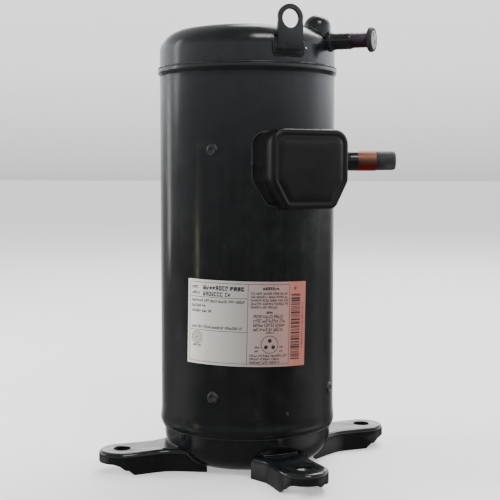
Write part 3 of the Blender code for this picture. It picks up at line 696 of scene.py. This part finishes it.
def lump(name, centre, out, size, material, seed):
    """A blob of weld metal on a surface whose outward direction is given."""
    squash = 0.5
    bm = bmesh.new()
    bmesh.ops.create_icosphere(bm, subdivisions=3, radius=1.0)
    turn = Vector(out).to_track_quat("Z", "X").to_matrix()
    for vert in bm.verts:
        p = vert.co.copy()
        swell = 1.0 + 0.28 * wave(p.x * 1.7 + seed, p.y * 1.7, p.z * 1.7)
        swell = swell + 0.10 * wave(p.x * 5 + seed, p.y * 5, p.z * 5)
        p = Vector((p.x * size[0], p.y * size[1], p.z * size[2] * squash)) * swell
        vert.co = Vector(centre) + turn @ p
    make(name, bm, material, "housing", smooth=80.0)


def polar(angle, radius, height):
    a = math.radians(angle)
    return Vector((radius * math.cos(a), radius * math.sin(a), height))


def build_plug_welds():
    """The puddle welds that hold the frames inside: a raised ring round a shallow crater."""
    for level, height in (("upper", 316.1), ("lower", 78.8)):
        for quarter in range(4):
            angle = 90.0 * quarter
            seed = 3.0 * quarter + height

            def wobble(a, r, z, k, seed=seed):
                grow = 1.0 + 0.14 * wave(math.cos(a) * 1.3 + seed, math.sin(a) * 1.3, 0.4 * k)
                return r * grow, z + 0.22 * wave(math.cos(a) * 2.2, math.sin(a) * 2.2 + seed, k * 0.7)

            curve = [(6.3, 87.9), (5.7, 88.75), (4.7, 89.75), (3.6, 90.1), (2.6, 89.6), (1.6, 88.95)]
            bm = lathe_mesh(curve + [(0, 88.8), (0, 87.4), (6.3, 87.4)], 32, wobble)
            name = "plug_weld_" + level + str(quarter + 1)
            make(name, bm, WELD, "housing", place=radial(angle, height), smooth=60.0)
    lump("seam_lump_a", polar(-117.0, 85.6, 35.0), polar(-117.0, 1, -0.15), (6.0, 4.2, 3.6), WELD, 2.0)
    lump("seam_lump_b", polar(-47.0, 86.0, 35.5), polar(-47.0, 1, -0.15), (3.8, 2.8, 3.0), WELD, 6.0)
    lump("seam_lump_c", polar(150.0, 86.0, 35.5), polar(150.0, 1, -0.15), (5.0, 3.0, 3.0), WELD, 8.0)
    lump("shell_spot", polar(-42.4, 88.6, 62.0), polar(-42.4, 1, 0), (2.6, 1.6, 1.4), WELD, 11.0)


def foot_outline(short):
    """The channel from above; on the short one the clockwise side stops at the bowl's edge."""
    tip = arc(FOOT_HOLE_AT, 0.0, 23.0, -80.0, 80.0, 20)
    clockwise = [(x, -y) for x, y in FOOT_EDGE]
    if short:
        clockwise[:2] = [(77.5, -29.2), (82.0, -27.4)]
    return tip + FOOT_EDGE[::-1] + clockwise


def build_foot(node, angle):
    """A pressed channel with a round tip and one hole, hollow below, and its welds to the bowl."""
    turn = Matrix.Rotation(math.radians(angle), 4, "Z")
    short = node == "foot_front"
    outline = foot_outline(short)
    top = highest(node).z
    plate, round_off = 2.8, 4.4
    loops = [[(x, y, 0.0) for x, y in outline], [(x, y, top - round_off) for x, y in outline]]
    for i in range(1, 7):
        a = math.radians(15.0 * i)
        height = top - round_off + round_off * math.sin(a)
        loops.append([(x, y, height) for x, y in offset(outline, 4.0 * (1 - math.cos(a)))])
    foot = make(node + "_stamping", loft_mesh(loops), PAINT_LOW, None, place=turn)
    hollow = []
    for inward, height in ((plate, -1.0), (plate, top - plate - 2.4), (plate + 2.2, top - plate)):
        # The channel stays open at its inner end.
        hollow.append([(x - 12.0 if x < 80.0 else x, y, height) for x, y in offset(outline, inward)])
    side = [(127.0, -2.0), (165.0, -2.0), (165.0, 10.8), (149.0, 11.2), (143.5, 9.6), (138.5, 5.4)]
    side += [(135.0, 5.0), (129.0, 0.0)]
    hole = [(0, 5), (FOOT_HOLE_R, 5), (FOOT_HOLE_R, 40), (0, 40)]
    upright = Matrix.Rotation(math.pi / 2, 4, "X")
    tools = [cutter(loft_mesh(hollow), turn), cutter(prism_mesh(side, -30.0, 30.0), turn @ upright)]
    tools.append(cutter(lathe_mesh(hole, 40), turn @ at(FOOT_HOLE_AT, 0)))
    tools.append(cutter(lathe_mesh(bowl_profile(-0.3, 18), 96)))
    boolean(foot, tools)
    soften(foot, 0.55, 2, 38.0)
    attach(foot, "housing")
    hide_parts(node)
    path = []
    for i in range(21):
        t = -19.0 + 1.9 * i
        r = bowl_radius(top + 0.2) - 0.1
        path.append(turn @ Vector((math.sqrt(r * r - t * t), t, top + 0.1)))
    bead(node + "_bead", path, 0.75, angle, 0.6, 2.6)
    for side_name, sign in (("a", 1), ("b", -1)):
        nearest = 79.0 if sign < 0 and short else 62.0
        path = []
        for i in range(18):
            height = top - 3.0 - (top - 6.0) * i / 17
            r = bowl_radius(height) + 0.9
            x = 88.0
            for _ in range(30):
                x += (r - math.hypot(x, edge_width(x))) * 0.5
            if x > nearest:
                path.append(turn @ Vector((x, sign * (edge_width(x) + 0.4), height)))
        if len(path) > 3:
            bead(node + "_bead_" + side_name, path, 1.3, angle + sign, 0.4, 2.4)


def edge_width(x):
    """Half the foot's width at this distance from the shaft's axis."""
    for (xa, ya), (xb, yb) in zip(FOOT_EDGE, FOOT_EDGE[1:]):
        if xa <= x <= xb:
            return ya + (yb - ya) * (x - xa) / (xb - xa)
    return FOOT_EDGE[0][1] if x < FOOT_EDGE[0][0] else FOOT_EDGE[-1][1]


def build_lug():
    """The lifting plate: a round head on a straight stem, and the welded saddle that holds it."""
    low = lowest("lifting_lug").z
    half = 13.4
    centre = LUG_TOP - half
    head = arc(0.0, centre, half, 8.0, 172.0, 30)
    outline = [(-half, low + 5.0), (half, low + 5.0), (half, centre - 6.0), (half - 0.5, centre - 2.6)]
    outline = outline + head + [(-half + 0.5, centre - 2.6), (-half, centre - 6.0)]
    near, far, round_off = 89.2, 92.7, 0.7
    loops = []
    for face, sign in ((near, 1.0), (far, -1.0)):
        edge = []
        for i in range(5):
            a = math.radians(22.5 * i)
            inward = round_off - round_off * math.cos(a)
            height = face + sign * (round_off - round_off * math.sin(a))
            edge.append([(x, y, height) for x, y in offset(outline, inward)])
        loops += edge[::-1] if sign > 0 else edge
    place = radial(LUG_AT)
    plate = make("lug_plate", loft_mesh(loops), PAINT_CAP, None, place=place)
    r, wide = LUG_HOLE_R, LUG_HOLE_R + 0.6
    hole = [(0, 80), (wide, 80), (wide, near + 0.2), (r, near + 0.9), (r, far - 0.9), (wide, far - 0.2)]
    hole += [(wide, 100), (0, 100)]
    boolean(plate, [cutter(lathe_mesh(hole, 56), place @ at(0, LUG_HOLE_Z))])
    shade(plate.data, 35.0)
    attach(plate, "housing")
    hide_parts("lifting_lug")
    saddle = []
    for i in range(25):
        a = math.radians(LUG_AT - 9.9 + 19.8 * i / 24)
        ends = min(i, 24 - i) / 2.0
        thick = 3.0 * math.sqrt(min(1.0, (ends + 0.25) / 1.6))
        section = [(88.6, 405.2), (88.7 + thick * 0.7, 405.4), (88.8 + thick, 406.6), (88.8 + thick, 417.4)]
        section += [(88.7 + thick * 0.6, 419.2), (88.5, 419.6)]
        ring = []
        for r, z in section:
            z += 0.4 * wave(i * 0.35, z)
            ring.append((r * math.cos(a), r * math.sin(a), z))
        saddle.append(ring)
    make("lug_saddle", loft_mesh(saddle), PAINT_CAP, "housing", smooth=50.0)
    path = [polar(LUG_AT - 10.0 + 20.0 * i / 20, 89.2, 420.0) for i in range(21)]
    bead("lug_bead_top", path, 1.1, 21.0, 0.4, 2.4)
    path = [polar(LUG_AT - 10.2 + 20.4 * i / 20, 89.2, 404.9) for i in range(21)]
    bead("lug_bead_low", path, 1.0, 25.0, 0.4, 2.4)
    for sign in (-1, 1):
        path = [polar(LUG_AT + sign * 10.3, 89.4, 406.0 + 13.0 * i / 8) for i in range(9)]
        bead("lug_bead_" + ("a" if sign < 0 else "b"), path, 1.1, 31.0 + sign, 0.4, 2.4)
    # A small bright steel blob beside the lug's saddle, standing for a painted highlight.
    lump("lug_highlight_blob", polar(-29.2, 89.4, 412.5), polar(-29.2, 1, 0.2), (1.5, 1.5, 1.5), STEEL, 5.0)


def build_discharge():
    """The domed fitting, its fillet to the cap, the side socket, copper stub and shipping plug."""
    x0 = DISCHARGE_X
    radius = 13.5
    base = 404.5
    top = DOME_TOP
    rows = [(radius, z) for z in (base + 3.0 * i for i in range(1, 12)) if z < top - 13.0]
    rows = [(radius * 0.9, base - 0.6), (radius * 0.98, base + 0.5)] + rows
    for i in range(1, 13):
        a = math.radians(90.0 * i / 12)
        rows.append((radius * math.cos(a) ** 0.9 if i < 12 else 0.0, top - 12.5 + 12.5 * math.sin(a)))
    profile = [(0, base - 0.6)] + rows
    body = make("discharge_fitting", lathe_mesh(profile, 64), PAINT_CAP, None, place=at(x0, 0))
    cap = lathe_mesh([(0, CAP_BASE)] + cap_profile(-0.25, 14), 120)
    boolean(body, [cutter(cap, Matrix.Rotation(0.01, 4, "Z"))])
    shade(body.data, 40.0)
    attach(body, "housing")
    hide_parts("discharge_dome")
    path = []
    for i in range(49):
        a = math.radians(180.0 - 118.0 + 236.0 * i / 48)
        x = x0 + (radius + 0.3) * math.cos(a)
        y = (radius + 0.3) * math.sin(a)
        path.append((x, y, cap_height(math.hypot(x, y)) + 0.2))
    bead("dome_bead", path, 1.5, 41.0, 0.35, 2.6)
    east = radial(0.0, DISCHARGE_Z)
    socket = [(7.5, 86.4), (9.7, 86.4), (9.3, 90.0), (8.6, 92.4), (8.2, 94.6), (8.2, 108.6), (7.9, 109.6)]
    socket = fillet(socket + [(7.5, 110.0)], {2: 0.8, 3: 1.5, 4: 1.5}, 3)

    def ragged(a, r, z, k):
        if z > 107.0:
            z += 0.5 * wave(math.cos(a) * 1.4, math.sin(a) * 1.4, 3.0)
        return r, z

    make("discharge_socket", lathe_mesh(socket, 48, ragged), PAINT_CAP, "housing", place=east)
    ring = [east @ Vector(point) for point in circle(9.0, 89.3, 60)]
    bead("socket_bead", ring, 1.1, 51.0, 0.4, 2.2, closed=True)
    tube = [(6.35, 92.0), (7.1, 92.0), (7.1, 110.4), (7.25, 111.2), (7.25, 126.6), (7.0, 127.0), (6.6, 127.0)]
    tube = lathe_mesh(tube + [(6.35, 126.7)], 48)
    make("discharge_stub", tube, COPPER_STUB, "housing", ["discharge_tube"], place=east)
    ring = [east @ Vector(point) for point in circle(7.3, 110.3, 60)]
    bead("braze_ring", ring, 0.55, 57.0, 0.5, 1.7, closed=True, material=COPPER_DARK)
    plug = [(0, 115), (5.6, 115), (6.0, 116), (6.0, 127.3), (10.6, 127.3), (11.85, 128.2), (11.85, 131.0)]
    plug += [(10.9, 132.5), (9.4, 132.5), (8.9, 132.2), (8.4, 132.5), (0, 132.5)]
    plug = fillet(plug, {4: 0.5, 5: 0.9, 6: 0.9, 7: 0.6}, 4)
    bm = lathe_mesh(plug, 56)
    for face in bm.faces:
        centre = face.calc_center_median()
        face.material_index = 0 if centre.z > 131.6 and math.hypot(centre.x, centre.y) < 8.8 else 1
    make("shipping_plug", bm, PLUG_FACE, "plug", ["discharge_plug"], place=east, slots=[RUBBER])
    for k, spot in enumerate(((-3.0, 4.4), (2.6, -1.6))):
        pocket = rounded([(-1.5, -2.3), (1.5, -2.3), (1.5, 2.3), (-1.5, 2.3)], [0.9] * 4, 3)
        pocket = prism_mesh(pocket, 132.3, 132.53)
        make("plug_mark_" + str(k + 1), pocket, RUBBER, "plug", place=east @ at(*spot))


def build_suction():
    """The suction stub: weld collar, paint over its root, bare copper, and the rubber bung."""
    place = radial(SUCTION_AT, SUCTION_Z)
    profile = [(10.65, 86.0), (14.0, 86.0), (13.6, 91.6), (12.4, 93.6), (11.0, 95.4), (10.65, 95.6)]
    profile = fillet(profile, {2: 1.4, 3: 1.4})
    collar = make("suction_weld_collar", lathe_mesh(profile, 48), PAINT, None, place=place)
    boolean(collar, [cutter(lathe_mesh([(0, 270), (88.8, 270), (88.8, 340), (0, 340)], 120))])
    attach(collar, "housing")
    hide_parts("suction_collar")
    ring = []
    for i in range(72):
        a = 2 * math.pi * i / 72
        x, y = 13.7 * math.cos(a), 13.7 * math.sin(a)
        ring.append(place @ Vector((x, y, math.sqrt(SHELL_R**2 - x * x) + 0.5)))
    bead("collar_bead", ring, 1.5, 61.0, 0.35, 2.6, closed=True)
    rows = [(9.525, 80.2), (10.2, 80.2), (10.2, 104.0)]
    rows += [(10.35, 105.0 + 0.5 * i) for i in range(36)]
    rows += [(10.35, 130.6), (10.1, 131.5), (9.8, 131.5), (9.525, 131.2)]
    bm = lathe_mesh(rows, 64)
    for face in bm.faces:
        centre = face.calc_center_median()
        a = math.atan2(centre.y, centre.x)
        edge = 112.9 + 1.0 * wave(math.cos(a) * 1.5, math.sin(a) * 1.5, 2.0) + 0.5 * wave(a * 4.0, 1.0)
        face.material_index = 1 if centre.z < edge else 0
    make("suction_stub", bm, COPPER, "housing", ["suction_tube"], place=place, slots=[PAINT])
    bung = [(0, 119.2), (8.2, 119.2), (9.1, 121.0), (9.1, 131.8), (9.75, 131.8), (9.75, 133.0), (9.55, 149.4)]
    bung += [(8.2, 151.3), (5.0, 151.8), (0, 151.8)]
    bung = fillet(bung, {2: 0.6, 4: 0.3, 6: 1.6, 7: 1.4}, 4)
    make("suction_bung_rubber", lathe_mesh(bung, 56), RUBBER, "bung", ["suction_bung"], place=place)


def box_outline(inward=0.0):
    """The cover from the front: square shoulders with round corners, and sides cut away below."""
    half, top, low = 42.5 - inward, 37.7 - inward, 37.0 - inward
    slant = 28.0 - 0.62 * inward
    points = [(half, top), (-half, top), (-half, -10.5), (-slant, -low), (slant, -low), (half, -10.5)]
    shoulder = max(14.5 - inward, 3.0)
    side = max(12.0 - inward, 3.0)
    foot = max(9.0 - inward * 0.6, 3.0)
    return rounded(points, [shoulder, shoulder, side, foot, foot, side], 7)


def build_box():
    """The terminal cover with its flat, round-edged front panel, and the welded guard behind it."""
    place = radial(BOX_AT, BOX_Z)
    mouth, face, guard_end = 103.5, 121.0, 113.4

    def loops(pairs):
        return [[(x, y, height) for x, y in box_outline(inward)] for inward, height in pairs]

    inside = [(19.0, -2.6), (8.0, -2.9), (4.6, -3.6), (2.6, -6.4), (2.0, -9.0)]
    rim = [(2.0, mouth), (0.5, mouth), (0.0, mouth + 0.5), (0.0, face - 4.6)]
    for i in range(1, 9):
        a = math.radians(11.25 * i)
        rim.append((3.6 * (1 - math.cos(a)), face - 4.6 + 3.6 * math.sin(a)))
    groove = [(4.8, -1.0), (5.8, -1.5), (7.0, -1.6), (8.2, -1.2), (9.6, -0.5), (11.5, -0.16), (14.5, -0.03)]
    groove = [(inward, face + depth) for inward, depth in groove + [(19.0, 0.0)]]
    bm = loft_mesh(loops([(inward, face + depth) for inward, depth in inside] + rim + groove))
    cover = make("terminal_cover_moulding", bm, PLASTIC, "cover", ["terminal_cover"], place, 50.0)
    cover.visible_glossy = False
    guard = [(2.6, 68.0), (2.6, guard_end - 0.6), (3.1, guard_end), (4.6, guard_end)]
    guard += [(5.0, guard_end - 0.5), (5.0, 68.0)]
    base = make("terminal_guard", loft_mesh(loops(guard), True), PAINT, None, place=place)
    boolean(base, [cutter(lathe_mesh([(0, 230), (88.8, 230), (88.8, 350), (0, 350)], 144))])
    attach(base, "housing")
    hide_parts("terminal_base")
    base.visible_glossy = False
    path = []
    for x, y in box_outline(2.2):
        path.append(place @ Vector((x, y, math.sqrt(88.9**2 - x * x) + 0.1)))
    bead("guard_bead", path, 1.1, 71.0, 0.4, 2.6, closed=True)


class Print:
    """Marks on the label, in millimetres along it and up it, laid just over its film."""

    def __init__(self):
        self.bm = bmesh.new()

    def point(self, s, t):
        return self.bm.verts.new(label_point(s, t, FILM_R + 0.05))

    def patch(self, s0, s1, t0, t1):
        steps = max(1, int(abs(s1 - s0) / 3.0))
        low = [self.point(s0 + (s1 - s0) * i / steps, t0) for i in range(steps + 1)]
        high = [self.point(s0 + (s1 - s0) * i / steps, t1) for i in range(steps + 1)]
        for i in range(steps):
            self.bm.faces.new((low[i], low[i + 1], high[i + 1], high[i]))

    def ring(self, s, t, outer, inner, steps=40):
        centre = self.point(s, t) if inner == 0 else None
        loops = []
        for r in (outer, inner) if inner else (outer,):
            loop = []
            for i in range(steps):
                a = 2 * math.pi * i / steps
                loop.append(self.point(s + r * math.cos(a), t + r * math.sin(a)))
            loops.append(loop)
        for i in range(steps):
            j = (i + 1) % steps
            if centre:
                self.bm.faces.new((centre, loops[0][i], loops[0][j]))
            else:
                self.bm.faces.new((loops[0][i], loops[0][j], loops[1][j], loops[1][i]))

    def sign(self, s, t, width, size, pick, weight):
        """One mark the size of a letter: two stems and two bars, in no alphabet."""
        stem = width * weight
        bar = size * weight * 0.8
        rise = size * pick.choice((1.0, 1.0, 0.74))
        kind = pick.randint(0, 3)
        self.patch(s, s + stem, t, t + rise)
        if kind != 1:
            self.patch(s + width - stem, s + width, t + (size * 0.4 if kind == 2 else 0.0), t + rise)
        for level in pick.sample((0.0, 0.42, 1.0), 2):
            low = t + level * (rise - bar)
            self.patch(s + stem, s + width - (stem if kind != 1 else 0.0), low, low + bar)

    def words(self, s0, s1, t, size, seed, wide=0.56, weight=0.3, longest=7):
        """A line of type too small to read, grouped like words."""
        pick = random.Random(seed)
        s = s0
        while True:
            for _ in range(pick.randint(3, longest)):
                width = size * wide * pick.uniform(0.85, 1.1)
                if s + width > s1:
                    return
                self.sign(s, t, width, size, pick, weight)
                s += width + size * 0.16
            s += size * 0.42


def label_point(s, t, radius):
    """A place on the label, s from its left edge and t up; the label sits a little askew on the shell."""
    along = s - LABEL_ARC / 2
    up = t - (LABEL_HIGH - LABEL_LOW) / 2
    a = math.radians(LABEL_AT) + (along - LABEL_SLOPE * up) / SHELL_R
    return (radius * math.cos(a), radius * math.sin(a), LABEL_LOW + t + LABEL_SLOPE * along)


def build_film():
    columns, rows = 60, 8
    bm = bmesh.new()
    grids = []
    for radius in (SHELL_R + 0.15, FILM_R):
        grid = []
        for j in range(rows + 1):
            t = (LABEL_HIGH - LABEL_LOW) * j / rows
            line = [label_point(LABEL_ARC * i / columns, t, radius) for i in range(columns + 1)]
            grid.append([bm.verts.new(point) for point in line])
        grids.append(grid)
        for j in range(rows):
            for i in range(columns):
                bm.faces.new((grid[j][i], grid[j][i + 1], grid[j + 1][i + 1], grid[j + 1][i]))
    near, far = grids
    for i in range(columns):
        for j in (0, rows):
            bm.faces.new((near[j][i], near[j][i + 1], far[j][i + 1], far[j][i]))
    for j in range(rows):
        for i in (0, columns):
            bm.faces.new((near[j][i], near[j + 1][i], far[j + 1][i], far[j][i]))
    make("label_film", bm, FOIL, "housing", ["data_label"])


def build_print():
    """Generic content in the label's layout: rules, lines of greeked type, a three-dot diagram and bars."""
    h = LABEL_HIGH - LABEL_LOW
    p = Print()
    edge, rule = 2.6, 0.45
    split, band = 61.9, 103.1
    for t in (edge, h - edge):
        p.patch(edge, band, t - rule / 2, t + rule / 2)
    for s in (edge, split, band):
        p.patch(s - rule / 2, s + rule / 2, edge, h - edge)
    for t in (h - 16.6, h - 48.6):
        p.patch(edge, split, t - rule / 2, t + rule / 2)
    p.words(5.0, 12.5, h - 8.6, 2.6, 1, 0.5)
    p.words(17.5, 43.0, h - 9.6, 4.4, 2, 0.56, 0.34, 9)
    p.words(44.6, 60.6, h - 9.6, 4.0, 3, 0.74, 0.42, 9)
    p.words(5.0, 14.5, h - 14.2, 2.6, 4, 0.5)
    p.words(17.5, 46.0, h - 15.4, 4.1, 5, 0.56, 0.30, 9)
    for k, end in enumerate((59.0, 21.0, 26.5)):
        p.words(5.0, end, h - 21.4 - 5.0 * k, 2.7, 10 + k, 0.52)
    p.words(5.0, 57.0, h - 46.6, 2.6, 20, 0.52)
    p.words(76.0, 92.5, h - 8.0, 2.9, 30, 0.62, 0.42, 9)
    for k in range(5):
        p.words(64.5, 101.5 if k < 4 else 90.0, h - 12.4 - 3.3 * k, 2.3, 31 + k, 0.5)
    p.words(80.0, 88.0, h - 30.4, 3.0, 40, 0.9, 0.3)
    for k in range(4):
        p.words(67.5, 99.0, h - 34.8 - 4.1 * k, 3.1, 41 + k, 0.88, 0.22, 9)
    cs, ct, cr = 83.6, 21.4, 8.6
    p.ring(cs, ct, cr, cr - 0.6)
    for k in range(3):
        a = math.radians(90 + 120 * k)
        p.ring(cs + 4.1 * math.cos(a), ct - 0.4 + 4.1 * math.sin(a), 1.9, 0.0, 20)
    for ds, dt in ((-12.0, -3.6), (-12.0, -7.4), (12.0, -3.2), (12.0, -7.4)):
        p.words(cs + ds - 2.2, cs + ds + 2.6, ct + dt, 2.0, int(90 + ds + dt), 0.7)
    p.words(cs - 4.0, cs + 4.5, ct + 10.6, 1.8, 59, 0.7)
    for k in range(3):
        p.words(64.5, 102.0 if k < 1 else 94.0, 9.6 - 3.2 * k, 2.3, 60 + k, 0.52)
    p.ring(11.4, h - 55.8, 6.0, 5.4)
    p.ring(11.4, h - 55.8, 4.2, 3.7)
    for k in range(3):
        p.patch(8.8, 14.0, h - 57.6 + 1.5 * k, h - 57.0 + 1.5 * k)
    p.words(7.0, 16.5, h - 64.6, 2.0, 70, 0.7, 0.3)
    pick = random.Random(77)
    t = 6.6
    while t < h - 12.0:
        thick = pick.choice((0.6, 0.6, 1.1, 1.7))
        p.patch(band + 1.8, band + 12.0, t, t + thick)
        t += thick + pick.choice((0.5, 0.8, 1.2))
    t = 17.0
    while t < h - 20.0:
        p.patch(band + 14.0, band + 15.6, t, t + pick.choice((0.6, 1.1)))
        t += 1.9
    p.words(band + 5.0, band + 10.0, h - 8.0, 2.8, 90, 0.8, 0.35)
    make("label_print", p.bm, INK, "housing")


def finish_inner():
    """Better materials for the CAD pieces that stay as they are."""
    looks = {
        "steel": STEEL,
        "iron": IRON,
        "alloy": ALLOY,
        "bronze": BRONZE,
        "copper": WIRE,
        "black_rubber": RUBBER,
        "cover_plastic": PLASTIC,
        "black_paint": PAINT,
        "black_paint_weld": WELD,
        "label_foil": FOIL,
    }
    for part in frame["record"]["subparts"]:
        obj = nodes[part["node"]]
        look = looks[part["material_slot"]]
        if not obj.data.materials:
            obj.data.materials.append(look)
        for slot in obj.material_slots:
            slot.material = look


def build_stage():
    bm = bmesh.new()
    bmesh.ops.create_grid(bm, x_segments=1, y_segments=1, size=40000.0)
    for vert in bm.verts:
        vert.co.z = lowest("foot_front").z - 0.2
    m = Nodes("studio_floor")
    m.set(Base_Color=m.ramp(m.noise(3.0), [(0.3, 0.86), (0.7, 0.88)]), Roughness=0.9)
    m.set(Specular_IOR_Level=0.1, Emission_Color=(1.0, 1.0, 1.0, 1.0), Emission_Strength=0.42)
    floor = make("floor", bm, m.material, None)
    floor.visible_glossy = False


def build_room():
    """The surroundings: a white backdrop behind the machine, and a dimmer room in front, brighter high up."""
    world = bpy.data.worlds.new("studio")
    bpy.context.scene.world = world
    world.use_nodes = True
    m = Tree(world.node_tree)
    direction = m.add("ShaderNodeTexCoord").outputs["Generated"]
    sideways = m.along(direction, ACROSS, -1.0, 1.0)
    level = m.along(direction, Vector((0, 0, 1)), -0.35, 0.55)
    depth = m.along(direction, TOWARD, -1.0, 1.0)
    # From the camera's left to its right, near the ground and higher up
    across = [(0.0, 0.95), (0.023, 0.85), (0.06, 0.70), (0.25, 0.62), (0.40, 0.66), (0.418, 1.35)]
    across += [(0.437, 0.70), (0.60, 0.78), (0.68, 0.88), (0.71, 0.42), (0.80, 0.38), (0.90, 0.55)]
    across += [(0.965, 1.0), (1.0, 1.3)]
    upper = [(0.0, 0.80), (0.023, 0.74), (0.06, 0.68), (0.25, 0.66), (0.5, 0.66), (0.62, 0.70), (0.80, 0.80)]
    upper += [(0.90, 1.0), (0.965, 1.15), (1.0, 1.3)]
    # From the ground up
    height = [(0.0, (0.10, 0.10, 0.098)), (0.16, (0.13, 0.13, 0.125)), (0.30, (0.20, 0.20, 0.19))]
    height += [(0.385, (0.38, 0.385, 0.375)), (0.44, (0.70, 0.72, 0.73)), (0.50, (1.35, 1.42, 1.50))]
    height += [(0.62, (1.5, 1.56, 1.65)), (0.80, (0.9, 0.92, 0.94)), (1.0, (0.7, 0.71, 0.72))]
    higher = m.ramp(level, [(0.33, 0.0), (0.43, 1.0)])
    azimuth = m.mix(higher, m.ramp(sideways, across), m.ramp(sideways, upper))
    room = m.mix(1.0, azimuth, m.ramp(level, height), "MULTIPLY")
    behind = m.ramp(depth, [(0.0, 1.9), (0.32, 1.9), (0.46, 1.25), (0.6, 1.0), (1.0, 1.0)])
    room = m.mix(1.0, room, behind, "MULTIPLY")
    low = m.ramp(sideways, [(0.0, 1.5), (0.03, 0.7), (0.09, 0.12), (0.90, 0.10), (0.95, 0.5), (1.0, 1.0)])
    low = m.mix(1.0, low, m.ramp(level, [(0.0, 1.0), (0.14, 0.8), (0.22, 0.0)]), "MULTIPLY")
    room = m.mix(1.0, room, low, "ADD")
    screen = m.ramp(level, [(0.385, 0.92), (0.42, 1.15), (0.5, 1.6), (0.60, 1.7), (0.66, 4.0)])
    color = m.mix(m.along(direction, TOWARD, -0.80, -0.93), room, screen)
    m.link(color, m.tree.nodes["Background"].inputs["Color"])


def lamp(name, bearing, distance, height, width, tall, power, color=(1.0, 1.0, 1.0)):
    """A soft panel standing at a bearing from the camera's side, facing the machine."""
    light = bpy.data.lights.new(name, "AREA")
    light.shape = "RECTANGLE"
    light.size = width
    light.size_y = tall
    light.energy = power
    light.color = color
    obj = bpy.data.objects.new(name, light)
    bpy.context.scene.collection.objects.link(obj)
    a = math.radians(bearing)
    spot = (TOWARD * math.cos(a) + ACROSS * math.sin(a)) * distance + Vector((0, 0, height))
    aim = Vector((0, 0, 0.25)) - spot
    obj.location = spot
    obj.rotation_euler = aim.to_track_quat("-Z", "Y").to_euler()
    return obj


def build_lights():
    lamp("window_left", -103.0, 2.0, 0.90, 0.24, 0.9, 2.6, (0.95, 0.98, 1.0))
    lamp("green_left", -67.0, 2.2, 0.06, 0.08, 0.22, 0.5, (0.82, 0.90, 0.55))
    lamp("side_left", -122.0, 2.0, 0.30, 0.3, 0.5, 1.0)
    lamp("above_front", 25.0, 1.3, 1.7, 0.7, 0.5, 14.0)
    lamp("overhead", 150.0, 1.6, 2.4, 1.8, 1.8, 85.0)
    fill = lamp("label_fill", -92.0, 2.0, 0.35, 0.6, 0.8, 84.0, (1.0, 0.99, 0.97))
    fill.visible_glossy = False
    fill.data.specular_factor = 0.0


def build_camera():
    """A little over a metre from the shaft and a little above mid height, looking slightly down."""
    data = bpy.data.cameras.new("camera")
    data.sensor_width = 36.0
    data.lens = 76.31
    data.clip_start = 0.05
    data.clip_end = 50.0
    camera = bpy.data.objects.new("camera", data)
    bpy.context.scene.collection.objects.link(camera)
    camera.location = TOWARD * 1.0877 + ACROSS * 0.0028 + Vector((0, 0, 0.2937))
    pitch = math.radians(4.114)
    look = -TOWARD * math.cos(pitch) - Vector((0, 0, 1)) * math.sin(pitch)
    camera.rotation_euler = look.to_track_quat("-Z", "Y").to_euler()
    bpy.context.scene.camera = camera


finish_inner()
build_shell()
build_caps()
build_seams()
build_plug_welds()
feet = {"foot_front": -45.0, "foot_left": -135.0, "foot_right": 45.0, "foot_back": 135.0}
for name, bearing in feet.items():
    build_foot(name, bearing)
build_lug()
build_discharge()
build_suction()
build_box()
build_film()
build_print()
build_stage()
build_room()
build_lights()
build_camera()
